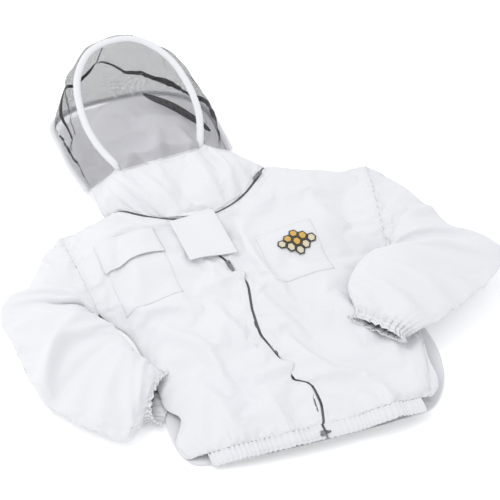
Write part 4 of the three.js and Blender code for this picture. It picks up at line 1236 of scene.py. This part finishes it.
# Folds of the bib: each one's place at its foot and at its top, its half width and height.
bib_folds = [(0.30, 0.22, 0.045, 0.012), (0.40, 0.34, 0.035, 0.010), (0.50, 0.52, 0.045, -0.008),
             (0.60, 0.66, 0.035, 0.011), (0.70, 0.80, 0.040, 0.013), (0.82, 0.86, 0.035, 0.010),
             (0.16, 0.12, 0.035, 0.010), (0.76, 0.70, 0.025, -0.008)]
drape = 0.0022 * ripple(31, 12, grid[..., 0], grid[..., 1], low=5, high=14) * hold
for s0, s1, width, tall in bib_folds:
    drape += tall * np.exp(-(((share - s0 - (s1 - s0) * v) / width) ** 2)) * hold
grid = grid + away * drape[..., None]
bib = piece("hood_front", grid, white_cloth, sewn="bt")
settle(bib, edge_hold(rows, columns, "btlr"), slack=0.035, frames=20, stiff=3.0, most=0.010)
grid = points_of(bib).reshape(rows, columns, 3)
grid[..., 2] = np.maximum(grid[..., 2], 0.003)
place_points(bib, grid)
declare(grid)
thicken(bib)
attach(bib, "hood")
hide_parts("hood_bib")

rows, columns = 90, 90
rear = rear_hoop + rear_out * 0.004
nape = neck_back + 0.001
right_edge = even(np.concatenate([[(-neck_half, nape, 0)], rear[:120] * (1, 1, 0)]), rows)
left_edge = even(np.concatenate([[(neck_half, nape, 0)], rear[::-1][:120] * (1, 1, 0)]), rows)
t = np.linspace(0, 1, columns)[None, :, None]
grid = right_edge[:, None] * (1 - t) + left_edge[:, None] * t
x, y = grid[..., 0], grid[..., 1]
v = np.linspace(0, 1, rows)[:, None]
inside = np.sin(np.pi * t[..., 0]) * np.sin(np.pi * v) ** 0.6
lumps = 0
for line, width, tall in (
        ([(-0.13, 0.30), (-0.06, 0.34), (0.02, 0.33), (0.09, 0.30)], 0.014, 0.018),
        ([(-0.15, 0.42), (-0.08, 0.39), (-0.01, 0.42)], 0.013, 0.017),
        ([(-0.02, 0.47), (0.04, 0.43), (0.10, 0.42)], 0.013, 0.017),
        ([(-0.16, 0.36), (-0.10, 0.35), (-0.04, 0.30), (-0.03, 0.26)], 0.011, 0.013),
        ([(0.03, 0.27), (0.07, 0.34), (0.06, 0.40)], 0.011, 0.012),
        ([(-0.12, 0.50), (-0.05, 0.47), (0.0, 0.50)], 0.016, 0.014),
        ([(-0.02, 0.29), (0.0, 0.37), (0.02, 0.42)], 0.014, 0.014)):
    lumps = lumps + fold(x, y, line, width, tall)
grid[..., 2] = 0.0018 + inside**0.5 * (1.5 * lumps + 0.0045 * (
    1 + ripple(14, 10, x, y, low=6, high=16)))
# The lining uses the brightened cloth with its painted glow.
hood_back = piece("hood_lining", grid, painted_glow_cloth, sewn="blr")
settle(hood_back, edge_hold(rows, columns, "btlr"), slack=0.04, frames=18, stiff=2.0, most=0.010)
grid = points_of(hood_back).reshape(rows, columns, 3)
grid[..., 2] = np.maximum(grid[..., 2], 0.0015)
place_points(hood_back, grid)
declare(grid)
thicken(hood_back)
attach(hood_back, "hood")
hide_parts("hood_back")


# ---- Throat flap ----------------------------------------------------------------------------
# A square tab of doubled cloth sewn to the foot of the bib. It folds down over the place
# where the two zips meet and sticks to a strip of touch tape.
tab_right, tab_left, tab_top = -0.085, 0.012, 0.085
plan, s, t = four_corners([(tab_right, -0.030), (tab_left, -0.048), (tab_left, tab_top),
                           (tab_right, tab_top)], 56, 50)
z = chest(plan[..., 0], plan[..., 1]) + 0.0120
z += 0.0016 * np.sin(s * 7 + t * 3) * (1 - t) + 0.0022 * (1 - t) ** 3 * np.sin(np.pi * s)
z += 0.0006 * ripple(33, 8, s, t, low=0.6, high=2.0)
throat = np.concatenate([plan, z[..., None]], -1)
made = piece("throat_tab", throat, white_cloth, sewn="blrt", body="throat_flap")
declare(throat)
thicken(made, 0.0012)
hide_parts("throat_flap", "throat_loop_tape")
under = patch([(-0.079, -0.024), (-0.028, -0.024), (-0.028, -0.004), (-0.079, -0.004)], 0.0012,
              -1, rows=10, columns=22, seed=8)
hooks = plain_material("touch_tape", (0.80, 0.81, 0.84), (0.90, 0.91, 0.94), 0.9, scale=900.0)
made = piece("throat_touch_tape", under, hooks, body="jacket")
declare(under)
thicken(made, 0.0010)
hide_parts("throat_hook_tape")
u = np.linspace((tab_right + 0.004) / neck_half, (tab_left - 0.004) / neck_half, 40)
low, high = neck_ring(u, 0.004), neck_ring(u, 0.014)
t = np.linspace(0, 1, 6)[:, None, None]
plan = low[None] * (1 - t) + high[None] * t
z = chest(plan[..., 0], plan[..., 1]) + 0.0110
strip = np.concatenate([plan, z[..., None]], -1)
made = piece("throat_tab_seam", strip, white_cloth, sewn="bt", body="hood")
declare(strip)
thicken(made, 0.0020)
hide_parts("throat_flap_seam")
